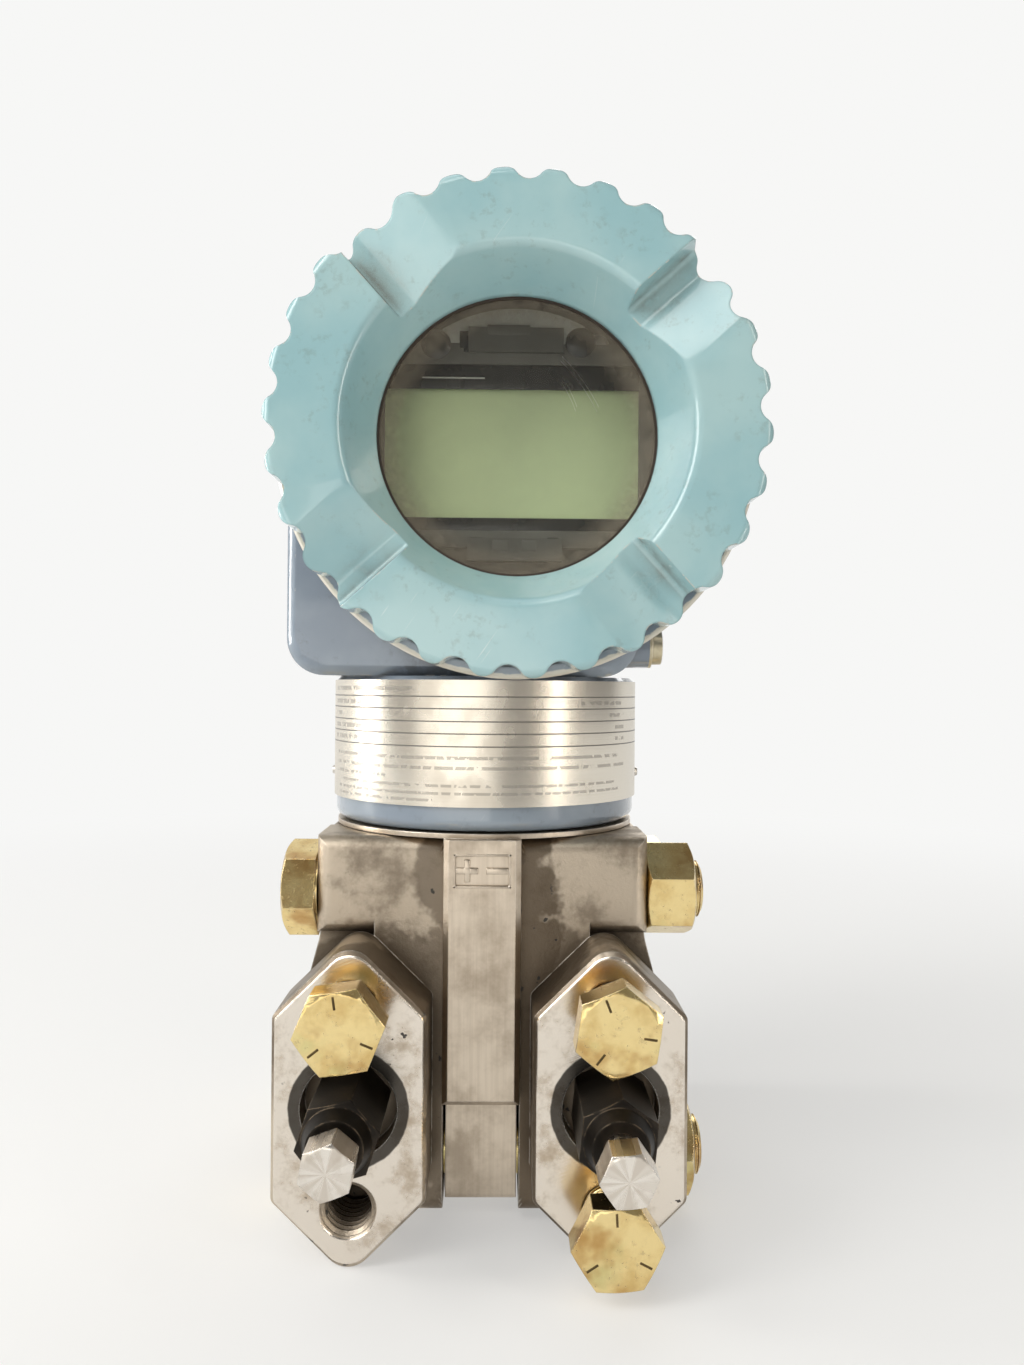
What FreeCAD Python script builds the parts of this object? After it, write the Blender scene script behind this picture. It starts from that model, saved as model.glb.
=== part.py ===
import FreeCAD, Part
import math
import os

from FreeCAD import Rotation, Vector

# Differential pressure transmitter. Millimetres, +Z up, +X to the right seen from the front, the
# front looks along -Y. The origin is the middle of the four bolt holes of the rear process face.

# ---- driving dimensions ---------------------------------------------------------------------
FACE_TO_FACE = 100.0          # front process face to rear process face
PORT_SPACING = 54.0           # between the two process ports
FLANGE_BOLT_SPACING = 41.3    # between the two tapped holes of one pad
NECK_Y = -FACE_TO_FACE / 2.0  # the neck stands midway between the faces

# sensor core
CORE_HALF = 8.5
CORE_LOWER_HALF = 8.0
COLUMN_INSET = 11.5           # column front behind the process face
COLUMN_BOTTOM = -4.0
CORE_LOWER_INSET = 20.0
CORE_BOTTOM = -28.3
LIP_RADIUS = 36.8
LIP_BOTTOM = 53.8
LIP_TOP = 54.9
SPIGOT_RADIUS = 19.0
SPIGOT_TOP = 80.0

# process covers
PAD_HALF_WIDTH = 16.0
PAD_SHOULDER = 19.07
PAD_APEX = 34.74
PAD_THICKNESS = 17.2          # the pad's back meets the bolt ears
EAR_INSET = 17.0              # ear front behind the process face
EAR_OUTER = 37.2              # seat of the through-bolt heads and nuts
EAR_TOP = 53.6
EAR_BOTTOM = 32.0
EAR_DEPTH = 24.0
SADDLE_INSET = 0.4            # the casting between the upper ears stands back a little
COVER_BOTTOM = -30.0
PORT_COUNTERBORE = 10.0
PORT_COUNTERBORE_DEPTH = 6.0
PORT_BORE = 5.6
FLANGE_HOLE = 5.5             # front holes, to the root of the thread
FLANGE_HOLE_REAR = 4.95       # rear holes, at the tap drill
FLANGE_HOLE_DEPTH = 17.0
HOLE_POINT = 2.7              # drill point past the thread
HOLE_MOUTH = 0.6              # width and depth of the broken edge at the mouth

# through-bolts, 1/2 inch
BOLT_UPPER_Z = 40.5
BOLT_LOWER_Z = -19.1
REAR_DROP = 5.0               # the upper rear bolt sits lower than the front one
BOLT_INSET = 28.0
BOLT_RADIUS = 6.35
BOLT_ACROSS_FLATS = 19.05
BOLT_HEAD = 7.6
NUT_HEIGHT = 11.0
BOLT_END = 2.2
SPOT_FACE = 12.6              # radius milled flat round each bolt head and nut

# flange cap screws, 7/16 inch
CAP_ACROSS_FLATS = 15.875
CAP_HEAD = 7.5
CAP_STAND = 15.3              # top of the head above the process face
CAP_RADIUS = 5.45
CAP_ROOT = 4.7                # bare shank, to the root of its thread
CAP_ENGAGED = 16.0

# vents
VENT_BODY_FLATS = 14.6
VENT_BODY_STAND = 18.5
VENT_SCREW_FLATS = 9.4
VENT_SCREW_HEAD = 7.2
VENT_SCREW_RADIUS = 3.2
VENT_STAND_HIGH = 28.0        # screw head face above the process face, high side
VENT_STAND_LOW = 31.0
VENT_SCREW_LENGTH = 20.5

# topworks
NECK_RADIUS = 37.2
NECK_BOTTOM = 55.2
NECK_TOP = 89.6
PLATE_RADIUS = 37.8
PLATE_BOTTOM = 60.8
PLATE_TOP = 88.7
PLATE_WRAP = 206.0            # degrees of the neck that the data plate covers
BARREL_X = 6.75
BARREL_Z = 139.5
BARREL_RADIUS = 47.5
FLANGE_RADIUS = 50.7
FLANGE_FRONT = 48.0           # front flange face before the neck axis
FLANGE_THICKNESS = 7.0
COMPARTMENT_RADIUS = 43.0
THREAD_RADIUS = 45.5
THREAD_DEPTH = 15.0
WALL_FRONT = 4.0              # partition between the compartments, before the neck axis
WALL_BACK = -6.0
BLOCK_LEFT = -45.0
BLOCK_RIGHT = 35.0
BLOCK_BOTTOM = 89.6
BLOCK_TOP = 162.0
BLOCK_FRONT = 30.0            # block front before the neck axis
BLOCK_BACK = 34.0
BLOCK_CORNER = 8.5
HUB_RADIUS = 18.0
HUB_END = 58.5
CONDUIT_Y = -28.0
CONDUIT_Z = 138.0
CONDUIT_RADIUS = 10.3
ENTRY_LENGTH = 16.0           # threaded length of the open entry

# screwed covers
COVER_TIP = 50.7
COVER_NOTCH = 47.9
SCALLOPS = 30
SCALLOP_PHASE = 10.0          # angle of one scallop tip
CREST_ARC = 3.0
COVER_FRONT = 60.4            # crest before the neck axis
COVER_BACK = 48.3
SKIRT_END = 36.5
SKIRT_BORE = 39.5
WINDOW_RADIUS = 29.3
GROOVE_DIRECTION = 42.0       # degrees from +X
GROOVE_START = -13.8          # where its long slope leaves the crest, beside the line through the axis
GROOVE_FLOOR = -0.9
GROOVE_WALL = 3.1
GROOVE_DEPTH = 5.6
GROOVE_RUN_OUT = 4.6          # the slope carried on 2 mm above the crest

PORT_X = PORT_SPACING / 2.0
HOLE_Z = FLANGE_BOLT_SPACING / 2.0
FRONT_BOLT_Y = -FACE_TO_FACE + BOLT_INSET
BOLTS = ((FRONT_BOLT_Y, BOLT_UPPER_Z), (FRONT_BOLT_Y, BOLT_LOWER_Z),
         (-BOLT_INSET, BOLT_UPPER_Z - REAR_DROP), (-BOLT_INSET, BOLT_LOWER_Z))
CELL_Z = (BOLT_UPPER_Z + BOLT_LOWER_Z) / 2.0
X_AXIS = Vector(1, 0, 0)
Y_AXIS = Vector(0, 1, 0)
Z_AXIS = Vector(0, 0, 1)


# ---- outlines -------------------------------------------------------------------------------
def rounded_wire(corners, to_space):
    """Closed wire through (a, b, radius) corners; to_space turns (a, b) into a point.

    A positive radius rounds the corner, a negative one cuts it off by that length, 0 leaves it sharp.
    """
    edges = []
    ends = []
    count = len(corners)
    for index, (a, b, radius) in enumerate(corners):
        here = Vector(a, b, 0)
        back = Vector(corners[index - 1][0], corners[index - 1][1], 0) - here
        ahead = Vector(corners[(index + 1) % count][0], corners[(index + 1) % count][1], 0) - here
        if radius == 0:
            ends.append((here, None, here))
            continue
        half = back.getAngle(ahead) / 2.0
        reach = radius / math.tan(half)
        back.normalize()
        ahead.normalize()
        if radius < 0:
            ends.append((here - back * radius, "cut", here - ahead * radius))
            continue
        middle = back + ahead
        middle.normalize()
        centre = here + middle * (radius / math.sin(half))
        ends.append((here + back * reach, centre - middle * radius, here + ahead * reach))
    for index, (start, bulge, finish) in enumerate(ends):
        if bulge == "cut":
            edges.append(Part.makeLine(to_space(start.x, start.y), to_space(finish.x, finish.y)))
        elif bulge is not None:
            points = [to_space(p.x, p.y) for p in (start, bulge, finish)]
            edges.append(Part.Arc(*points).toShape())
        following = ends[(index + 1) % count][0]
        if (following - finish).Length > 1e-6:
            edges.append(Part.makeLine(to_space(finish.x, finish.y), to_space(following.x, following.y)))
    return Part.Wire(edges)


def prism_y(corners, y_start, y_end):
    """Outline in X and Z, drawn out along Y."""
    wire = rounded_wire(corners, lambda x, z: Vector(x, y_start, z))
    return Part.Face(wire).extrude(Vector(0, y_end - y_start, 0))


def prism_x(corners, x_start, x_end):
    """Outline in Y and Z, drawn out along X."""
    wire = rounded_wire(corners, lambda y, z: Vector(x_start, y, z))
    return Part.Face(wire).extrude(Vector(x_end - x_start, 0, 0))


def turned_y(corners, x, z):
    """Profile of (radius, y, corner radius) turned about an axis along Y through x, z."""
    wire = rounded_wire(corners, lambda radius, y: Vector(x + radius, y, z))
    return Part.Face(wire).revolve(Vector(x, 0, z), Y_AXIS, 360)


def turned_z(corners, x, y):
    """Profile of (radius, z, corner radius) turned about an upright axis through x, y."""
    wire = rounded_wire(corners, lambda radius, z: Vector(x + radius, y, z))
    return Part.Face(wire).revolve(Vector(x, y, 0), Z_AXIS, 360)


def rod_x(radius, x_start, x_end, y, z):
    return Part.makeCylinder(radius, x_end - x_start, Vector(x_start, y, z), X_AXIS)


def rod_y(radius, y_start, y_end, x, z):
    return Part.makeCylinder(radius, y_end - y_start, Vector(x, y_start, z), Y_AXIS)


def rod_z(radius, z_start, z_end, x, y):
    return Part.makeCylinder(radius, z_end - z_start, Vector(x, y, z_start), Z_AXIS)


def box(x_start, x_end, y_start, y_end, z_start, z_end):
    corner = Vector(x_start, y_start, z_start)
    return Part.makeBox(x_end - x_start, y_end - y_start, z_end - z_start, corner)


def rectangle(a_start, a_end, b_start, b_end, radius):
    return [(a_start, b_start, radius), (a_end, b_start, radius),
            (a_end, b_end, radius), (a_start, b_end, radius)]


def hexagon(across_flats, height, top_chamfer, bottom_chamfer, turn):
    """Hexagon on Z from 0 to height with its corners turned off at the ends."""
    corner = across_flats / math.sqrt(3.0)
    flat = across_flats / 2.0
    points = []
    for step in range(7):
        angle = math.radians(turn + 60.0 * step)
        points.append(Vector(corner * math.cos(angle), corner * math.sin(angle), 0))
    prism = Part.Face(Part.makePolygon(points)).extrude(Vector(0, 0, height))
    drop = (corner - flat * 0.96) * 0.5
    profile = [(0, 0, 0), (corner + 0.1, 0, 0), (corner + 0.1, height, 0), (0, height, 0)]
    if bottom_chamfer:
        profile[1:2] = [(flat * 0.96, 0, 0), (corner + 0.1, drop, 0)]
    if top_chamfer:
        profile[-2:-1] = [(corner + 0.1, height - drop, 0), (flat * 0.96, height, 0)]
    return prism.common(turned_z(profile, 0, 0))


def stand_along(shape, direction, place):
    """Turn a piece built on +Z so that it points along direction from place."""
    moved = shape.copy()
    moved.Placement = FreeCAD.Placement(place, Rotation(Z_AXIS, direction))
    return moved


def fused(shapes):
    whole = shapes[0].multiFuse(shapes[1:])
    return whole.removeSplitter()


def mirrored_x(shape):
    return shape.mirror(Vector(0, 0, 0), X_AXIS)


def turned_round(shape):
    """The same piece at the rear: half a turn about the neck axis' line through the barrel."""
    moved = shape.copy()
    moved.rotate(Vector(BARREL_X, NECK_Y, 0), Z_AXIS, 180)
    return moved


# ---- process end ----------------------------------------------------------------------------
def sensor_core():
    front = -FACE_TO_FACE + COLUMN_INSET
    column = prism_x([(front, COLUMN_BOTTOM, 0), (-COLUMN_INSET, COLUMN_BOTTOM, 0),
                      (-COLUMN_INSET, LIP_BOTTOM, 0), (front, LIP_BOTTOM, 0)], -CORE_HALF, CORE_HALF)
    column = column.makeChamfer(1.2, [edge for edge in column.Edges if is_column_edge(edge)])
    lower_front = -FACE_TO_FACE + CORE_LOWER_INSET
    lower = prism_x(rectangle(lower_front, -CORE_LOWER_INSET, CORE_BOTTOM, COLUMN_BOTTOM + 2.0, 1.5),
                    -CORE_LOWER_HALF, CORE_LOWER_HALF)
    neck = turned_z([(0, LIP_BOTTOM, 0), (LIP_RADIUS, LIP_BOTTOM, 0), (LIP_RADIUS, LIP_TOP, 0),
                     (SPIGOT_RADIUS, LIP_TOP, 0),
                     (SPIGOT_RADIUS, SPIGOT_TOP - 1.0, 0), (SPIGOT_RADIUS - 1.0, SPIGOT_TOP, 0),
                     (0, SPIGOT_TOP, 0)], 0, NECK_Y)
    core = fused([column, lower, neck])
    panel = prism_y([(-6.1, 43.6, 1.0), (6.1, 43.6, 1.0), (6.1, 50.6, 1.0), (-6.1, 50.6, 1.0)],
                    front - 1.0, front + 0.6)
    cuts = [panel]
    for y, z in BOLTS:
        cuts.append(rod_x(BOLT_RADIUS + 0.1, -CORE_HALF - 1, CORE_HALF + 1, y, z))
    for side in (-1, 1):
        seat = CORE_HALF - 1.6
        cuts.append(rod_x(25.0, min(side * seat, side * CORE_HALF), max(side * seat, side * CORE_HALF),
                          NECK_Y, CELL_Z))
    return core.cut(Part.makeCompound(cuts))


def is_column_edge(edge):
    """The long front and rear corners of the column and its lower front and rear edges."""
    box_of = edge.BoundBox
    on_end = box_of.YLength < 0.01
    return on_end and (box_of.ZLength > 1.0 or box_of.ZMax < COLUMN_BOTTOM + 0.01)


def pad_outline(shrink=0.0):
    half = PAD_HALF_WIDTH - shrink
    apex = PAD_APEX - shrink * 1.41
    shoulder = PAD_SHOULDER - shrink * 0.4
    return [(PORT_X - half, -shoulder, 2.0), (PORT_X, -apex, 5.4), (PORT_X + half, -shoulder, 2.0),
            (PORT_X + half, shoulder, 2.0), (PORT_X, apex, 5.4), (PORT_X - half, shoulder, 2.0)]


def process_pad():
    """Lozenge pad of the front face, its rim broken by a small slope."""
    rim = 0.9
    front = -FACE_TO_FACE
    body = prism_y(pad_outline(), front + rim, front + PAD_THICKNESS)
    lower = rounded_wire(pad_outline(), lambda x, z: Vector(x, front + rim, z))
    upper = rounded_wire(pad_outline(rim), lambda x, z: Vector(x, front, z))
    return body.fuse(Part.makeLoft([lower, upper], True, True))


def cover_casting():
    """Half casting on +X: web, four bolt ears, port block and the two pads."""
    front = -FACE_TO_FACE + EAR_INSET
    back = -EAR_INSET
    web = prism_x(rectangle(front, back, COVER_BOTTOM, EAR_TOP, 5.0), CORE_HALF, 24.0)
    spine = prism_y([(CORE_HALF, COVER_BOTTOM, 0), (30.0, COVER_BOTTOM, 6.0), (41.0, -17.0, 4.0), (41.0, 15.0, 5.0),
                     (37.0, 30.0, 8.0), (36.0, EAR_BOTTOM + 6, 0), (CORE_HALF, EAR_BOTTOM + 6, 0)],
                    front + 5.0, back - 5.0)
    pieces = [web, spine]
    for y_start, y_end, bottom in ((front, front + EAR_DEPTH, EAR_BOTTOM),
                                   (back - EAR_DEPTH, back, EAR_BOTTOM - REAR_DROP)):
        pieces.append(ear(y_start, y_end, bottom, EAR_TOP))
        pieces.append(ear(y_start, y_end, COVER_BOTTOM, -7.0))
    pieces.append(box(CORE_HALF, EAR_OUTER - SADDLE_INSET, front + EAR_DEPTH / 2.0, back - EAR_DEPTH / 2.0,
                      EAR_BOTTOM + 4.0, EAR_TOP - SADDLE_INSET))
    pad = process_pad()
    pieces.append(pad)
    pieces.append(pad.mirror(Vector(0, NECK_Y, 0), Y_AXIS))
    pieces.append(prism_y(rectangle(15.0, 39.0, -14.0, 14.0, 6.0), front - 3.0, back + 3.0))
    return fused(pieces)


def ear(y_start, y_end, z_start, z_end):
    """Cast boss round a through-bolt, rounded towards the front, the back and its outer end."""
    outline = prism_x(rectangle(y_start, y_end, z_start, z_end, 3.5), CORE_HALF, EAR_OUTER)
    plan = rounded_wire([(CORE_HALF, y_start, 1.5), (EAR_OUTER, y_start, 4.0), (EAR_OUTER, y_end, 4.0),
                         (CORE_HALF, y_end, 1.5)], lambda x, y: Vector(x, y, z_start - 1))
    return outline.common(Part.Face(plan).extrude(Vector(0, 0, z_end - z_start + 2)))


def tapped_hole(z, front):
    """Flange hole: tapped and broken at its edge in the front pad, at tap drill size in the rear pad."""
    face = -FACE_TO_FACE
    end = face + FLANGE_HOLE_DEPTH
    if front:
        return turned_y([(0, face - 1, 0), (FLANGE_HOLE + HOLE_MOUTH, face - 1, 0),
                         (FLANGE_HOLE + HOLE_MOUTH, face, 0), (FLANGE_HOLE, face + HOLE_MOUTH, 0),
                         (FLANGE_HOLE, end, 0), (0, end + HOLE_POINT, 0)], PORT_X, z)
    drilled = turned_y([(0, face - 1, 0), (FLANGE_HOLE_REAR, face - 1, 0), (FLANGE_HOLE_REAR, end, 0),
                        (0, end + HOLE_POINT, 0)], PORT_X, z)
    return drilled.mirror(Vector(0, NECK_Y, 0), Y_AXIS)


def port_hole(front):
    """Counterbored port with its tapped bore."""
    bore = turned_y([(0, -FACE_TO_FACE - 1, 0), (PORT_COUNTERBORE, -FACE_TO_FACE - 1, 0),
                     (PORT_COUNTERBORE, -FACE_TO_FACE + PORT_COUNTERBORE_DEPTH, 0),
                     (PORT_BORE, -FACE_TO_FACE + PORT_COUNTERBORE_DEPTH, 0), (PORT_BORE, -FACE_TO_FACE + 26.0, 0),
                     (0, -FACE_TO_FACE + 29.0, 0)], PORT_X, 0)
    return bore if front else bore.mirror(Vector(0, NECK_Y, 0), Y_AXIS)


def process_cover():
    casting = cover_casting()
    cuts = [box(27.0, EAR_OUTER + 6, NECK_Y - 8.5, NECK_Y + 8.5, COVER_BOTTOM - 1, -16.0)]
    for front in (True, False):
        cuts.append(port_hole(front))
        cuts.append(tapped_hole(HOLE_Z, front))
        cuts.append(tapped_hole(-HOLE_Z, front))
    cuts.append(rod_y(2.5, -FACE_TO_FACE + 20, -20, PORT_X, 0))
    cuts.append(rod_x(2.5, CORE_HALF - 1, PORT_X, NECK_Y, 0))
    cuts.append(rod_x(24.0, CORE_HALF - 1, CORE_HALF + 2.0, NECK_Y, CELL_Z))
    for y, z in BOLTS:
        cuts.append(rod_x(BOLT_RADIUS + 0.4, CORE_HALF - 1, EAR_OUTER + 1, y, z))
        cuts.append(rod_x(SPOT_FACE, EAR_OUTER, EAR_OUTER + 5, y, z))
    return casting.cut(Part.makeCompound(cuts))


def process_gasket():
    outer = rod_x(25.0, CORE_HALF - 0.5, CORE_HALF, NECK_Y, CELL_Z)
    return outer.cut(rod_x(23.0, CORE_HALF - 0.6, CORE_HALF + 0.1, NECK_Y, CELL_Z))


def isolating_diaphragm():
    """Thin disc pressed into rings, seated in the core behind the gasket."""
    rings = 3
    outer = 24.8
    step = outer / (2.0 * rings + 1.0)
    seat = CORE_HALF - 1.6
    points = [Vector(seat + 0.5, NECK_Y, CELL_Z)]
    for index in range(1, 2 * rings + 1):
        rise = 0.45 if index % 2 else 0.0
        points.append(Vector(seat + 0.5 + rise, NECK_Y, CELL_Z + step * index))
    points.append(Vector(seat + 0.5, NECK_Y, CELL_Z + outer))
    lower = [point - Vector(0.3, 0, 0) for point in reversed(points)]
    outline = Part.makePolygon(points + lower + [points[0]])
    return Part.Face(outline).revolve(Vector(0, NECK_Y, CELL_Z), X_AXIS, 360)


def through_bolt(y, z, turn):
    head = stand_along(hexagon(BOLT_ACROSS_FLATS, BOLT_HEAD, True, False, turn), Vector(-1, 0, 0),
                       Vector(-EAR_OUTER - 0.5, y, z))
    washer_face = rod_x(BOLT_ACROSS_FLATS * 0.48, -EAR_OUTER - 0.6, -EAR_OUTER, y, z)
    tip = EAR_OUTER + NUT_HEIGHT + BOLT_END
    shank = rod_x(BOLT_RADIUS, -EAR_OUTER - 0.3, tip - 1.0, y, z)
    point = Part.makeCone(BOLT_RADIUS, BOLT_RADIUS - 1.0, 1.0, Vector(tip - 1.0, y, z), X_AXIS)
    return fused([head, washer_face, shank, point])


def bolt_nut(y, z, turn):
    nut = stand_along(hexagon(BOLT_ACROSS_FLATS, NUT_HEIGHT, True, True, turn), X_AXIS, Vector(EAR_OUTER, y, z))
    return nut.cut(rod_x(BOLT_RADIUS, EAR_OUTER - 1, EAR_OUTER + NUT_HEIGHT + 1, y, z))


def flange_screw(x, z, turn):
    """Cap screw run part way into its hole, the head standing clear of the pad."""
    head_seat = -FACE_TO_FACE - CAP_STAND + CAP_HEAD
    head = stand_along(hexagon(CAP_ACROSS_FLATS, CAP_HEAD - 0.5, True, False, turn), Vector(0, -1, 0),
                       Vector(x, head_seat - 0.5, z))
    washer_face = rod_y(CAP_ACROSS_FLATS * 0.48, head_seat - 0.6, head_seat, x, z)
    shank = rod_y(CAP_ROOT, head_seat - 0.2, -FACE_TO_FACE + 1.0, x, z)
    thread = rod_y(CAP_RADIUS, -FACE_TO_FACE + 0.4, -FACE_TO_FACE + CAP_ENGAGED, x, z)
    return fused([head, washer_face, shank, thread])


def vent_body(side, turn):
    """Hexagon valve body screwed into the front port, with a turned nose."""
    seat = -FACE_TO_FACE + PORT_COUNTERBORE_DEPTH
    height = VENT_BODY_STAND + PORT_COUNTERBORE_DEPTH - 3.0
    body = stand_along(hexagon(VENT_BODY_FLATS, height, True, False, turn), Vector(0, -1, 0),
                       Vector(side * PORT_X, seat, 0))
    nose = Part.makeCone(VENT_BODY_FLATS * 0.47, VENT_BODY_FLATS * 0.38, 3.0,
                         Vector(side * PORT_X, seat - height, 0), Vector(0, -1, 0))
    stem = rod_y(PORT_BORE, seat, seat + 15.0, side * PORT_X, 0)
    tip = -FACE_TO_FACE - VENT_STAND_HIGH + VENT_SCREW_LENGTH
    bore = turned_y([(0, seat - height - 4, 0), (VENT_SCREW_RADIUS + 0.05, seat - height - 4, 0),
                     (VENT_SCREW_RADIUS + 0.05, tip - 1.3, 0), (1.5, tip + 0.4, 0), (0, tip + 0.4, 0)],
                    side * PORT_X, 0)
    passage = rod_y(1.5, seat - height, seat + 16.0, side * PORT_X, 0)
    return fused([body, nose, stem]).cut(Part.makeCompound([bore, passage]))


def vent_screw(side, stand, turn):
    head_seat = -FACE_TO_FACE - stand + VENT_SCREW_HEAD
    tip = -FACE_TO_FACE - stand + VENT_SCREW_LENGTH
    head = stand_along(hexagon(VENT_SCREW_FLATS, VENT_SCREW_HEAD, True, False, turn), Vector(0, -1, 0),
                       Vector(side * PORT_X, head_seat, 0))
    shank = turned_y([(0, head_seat - 0.2, 0), (VENT_SCREW_RADIUS, head_seat - 0.2, 0),
                      (VENT_SCREW_RADIUS, tip - 1.5, 0), (1.7, tip, 0), (0, tip, 0)], side * PORT_X, 0)
    return fused([head, shank])


# ---- topworks -------------------------------------------------------------------------------
def housing_casting():
    """Barrel with two flanges and two compartments, block, neck, conduit hub and ground boss."""
    front = NECK_Y - FLANGE_FRONT
    back = NECK_Y + FLANGE_FRONT
    barrel = turned_y([(0, front, 0), (FLANGE_RADIUS, front, -0.6), (FLANGE_RADIUS, front + FLANGE_THICKNESS, -0.6),
                       (BARREL_RADIUS, front + FLANGE_THICKNESS + 3.0, -1.2),
                       (BARREL_RADIUS, back - FLANGE_THICKNESS - 3.0, -1.2),
                       (FLANGE_RADIUS, back - FLANGE_THICKNESS, -0.6), (FLANGE_RADIUS, back, -0.6), (0, back, 0)],
                      BARREL_X, BARREL_Z)
    block = housing_block()
    neck = turned_z([(0, NECK_BOTTOM, 0), (NECK_RADIUS, NECK_BOTTOM, 2.6), (NECK_RADIUS, NECK_TOP, -0.8),
                     (0, NECK_TOP, 0)], 0, NECK_Y)
    hub = turned_hub()
    lug = ground_boss()
    whole = fused([barrel, block, neck, hub, lug])
    hollow = turned_round(compartment()).cut(entry_boss())
    cuts = [compartment(), hollow]
    cuts.append(rod_z(SPIGOT_RADIUS + 0.05, NECK_BOTTOM - 1, SPIGOT_TOP + 0.6, 0, NECK_Y))
    cuts.append(rod_x(CONDUIT_RADIUS, BLOCK_LEFT - 1, BARREL_X - 30.0, CONDUIT_Y, CONDUIT_Z))
    cuts.append(rod_x(CONDUIT_RADIUS, BARREL_X + 30.0, HUB_END + 1, CONDUIT_Y, CONDUIT_Z))
    cuts.append(rod_x(2.6, BLOCK_RIGHT - 8.0, BLOCK_RIGHT + 12, NECK_Y - 18.0, 97.0))
    cuts.append(rod_y(2.1, NECK_Y + NECK_RADIUS - 12.0, NECK_Y + NECK_RADIUS + 1, 0, 58.0))
    cuts.append(rod_y(3.0, NECK_Y - WALL_FRONT - 1, NECK_Y - WALL_BACK + 1, BARREL_X, BARREL_Z))
    return whole.cut(Part.makeCompound(cuts))


def housing_block():
    """Boxy lower body with rounded corners, its front and rear edges sloped off."""
    y_front = NECK_Y - BLOCK_FRONT
    y_back = NECK_Y + BLOCK_BACK
    edge = 2.2

    def outline(inset):
        corner = BLOCK_CORNER - inset * 0.6
        return [(BLOCK_LEFT + inset, BLOCK_BOTTOM + inset, corner), (BLOCK_RIGHT - inset, BLOCK_BOTTOM + inset, corner),
                (BLOCK_RIGHT - inset, 122.0, 6.0), (8.0, BLOCK_TOP - inset, 10.0),
                (BLOCK_LEFT + inset, BLOCK_TOP - inset, corner)]

    body = prism_y(outline(0.0), y_front + edge, y_back - edge)
    ends = []
    for inner, outer in ((y_front + edge, y_front), (y_back - edge, y_back)):
        wires = [rounded_wire(outline(0.0), lambda x, z: Vector(x, inner, z)),
                 rounded_wire(outline(edge * 0.35), lambda x, z: Vector(x, (inner * 0.45 + outer * 0.55), z)),
                 rounded_wire(outline(edge), lambda x, z: Vector(x, outer, z))]
        ends.append(Part.makeLoft(wires, True, True))
    return body.multiFuse(ends)


def turned_hub():
    """Round conduit hub on the right of the barrel."""
    profile = [(0, 20.0, 0), (HUB_RADIUS + 1.5, 20.0, 0), (HUB_RADIUS, HUB_END, 1.5), (0, HUB_END, 0)]
    wire = rounded_wire(profile, lambda radius, x: Vector(x, CONDUIT_Y, CONDUIT_Z + radius))
    return Part.Face(wire).revolve(Vector(0, CONDUIT_Y, CONDUIT_Z), X_AXIS, 360)


def entry_boss():
    """Boss inside the rear compartment that lengthens the thread of the open conduit entry."""
    return rod_x(CONDUIT_RADIUS + 3.4, BLOCK_LEFT, BLOCK_LEFT + ENTRY_LENGTH, CONDUIT_Y, CONDUIT_Z)


def ground_boss():
    """Boss for the outer ground screw, low on the right side."""
    return prism_x(rectangle(NECK_Y - 25.0, NECK_Y - 11.0, 92.0, 102.5, 4.5), BLOCK_RIGHT - 9.0, BLOCK_RIGHT + 3.2)


def compartment():
    """Hollow behind a cover: threaded mouth, undercut and compartment."""
    front = NECK_Y - FLANGE_FRONT
    floor = NECK_Y - WALL_FRONT
    return turned_y([(0, front - 1, 0), (THREAD_RADIUS + 2.6, front - 1, 0), (THREAD_RADIUS + 2.6, front + 1.6, 0),
                     (THREAD_RADIUS + 0.06, front + 1.6, 0), (THREAD_RADIUS + 0.06, front + THREAD_DEPTH, 0),
                     (COMPARTMENT_RADIUS, front + THREAD_DEPTH, 0), (COMPARTMENT_RADIUS, floor, -2.0),
                     (0, floor, 0)], BARREL_X, BARREL_Z)


def data_plate():
    """Thin stainless plate bent round the front of the neck, its corners rounded."""
    outer = rod_z(PLATE_RADIUS, PLATE_BOTTOM, PLATE_TOP, 0, NECK_Y)
    sleeve = outer.cut(rod_z(NECK_RADIUS, PLATE_BOTTOM - 1, PLATE_TOP + 1, 0, NECK_Y))
    half_gap = math.radians((360.0 - PLATE_WRAP) / 2.0)
    reach = PLATE_RADIUS + 12.0
    wedge = [Vector(0, NECK_Y, PLATE_BOTTOM - 1)]
    for step in range(5):
        angle = math.pi / 2.0 - half_gap + half_gap * step / 2.0
        wedge.append(Vector(reach * math.cos(angle), NECK_Y + reach * math.sin(angle), PLATE_BOTTOM - 1))
    wedge.append(wedge[0])
    gap = Part.Face(Part.makePolygon(wedge)).extrude(Vector(0, 0, PLATE_TOP - PLATE_BOTTOM + 2))
    return sleeve.cut(gap)


def plate_screw(angle, z):
    """Round-headed drive screw that holds an end of the data plate."""
    direction = Vector(math.cos(math.radians(angle)), math.sin(math.radians(angle)), 0)
    seat = Vector(0, NECK_Y, z) + direction * PLATE_RADIUS
    return Part.makeCone(1.35, 0.95, 0.9, seat, direction)


def ground_screw():
    """Slotted brass screw in the ground boss, with its clamp washer."""
    y = NECK_Y - 18.0
    z = 97.0
    end = BLOCK_RIGHT + 3.2
    washer = rod_x(5.0, end, end + 1.0, y, z)
    head = rod_x(4.2, end + 1.0, end + 3.4, y, z)
    shank = rod_x(2.55, end - 9.0, end + 1.0, y, z)
    slot = box(end + 2.4, end + 4.0, y - 0.6, y + 0.6, z - 5, z + 5)
    return fused([washer, head, shank]).cut(slot)


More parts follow.
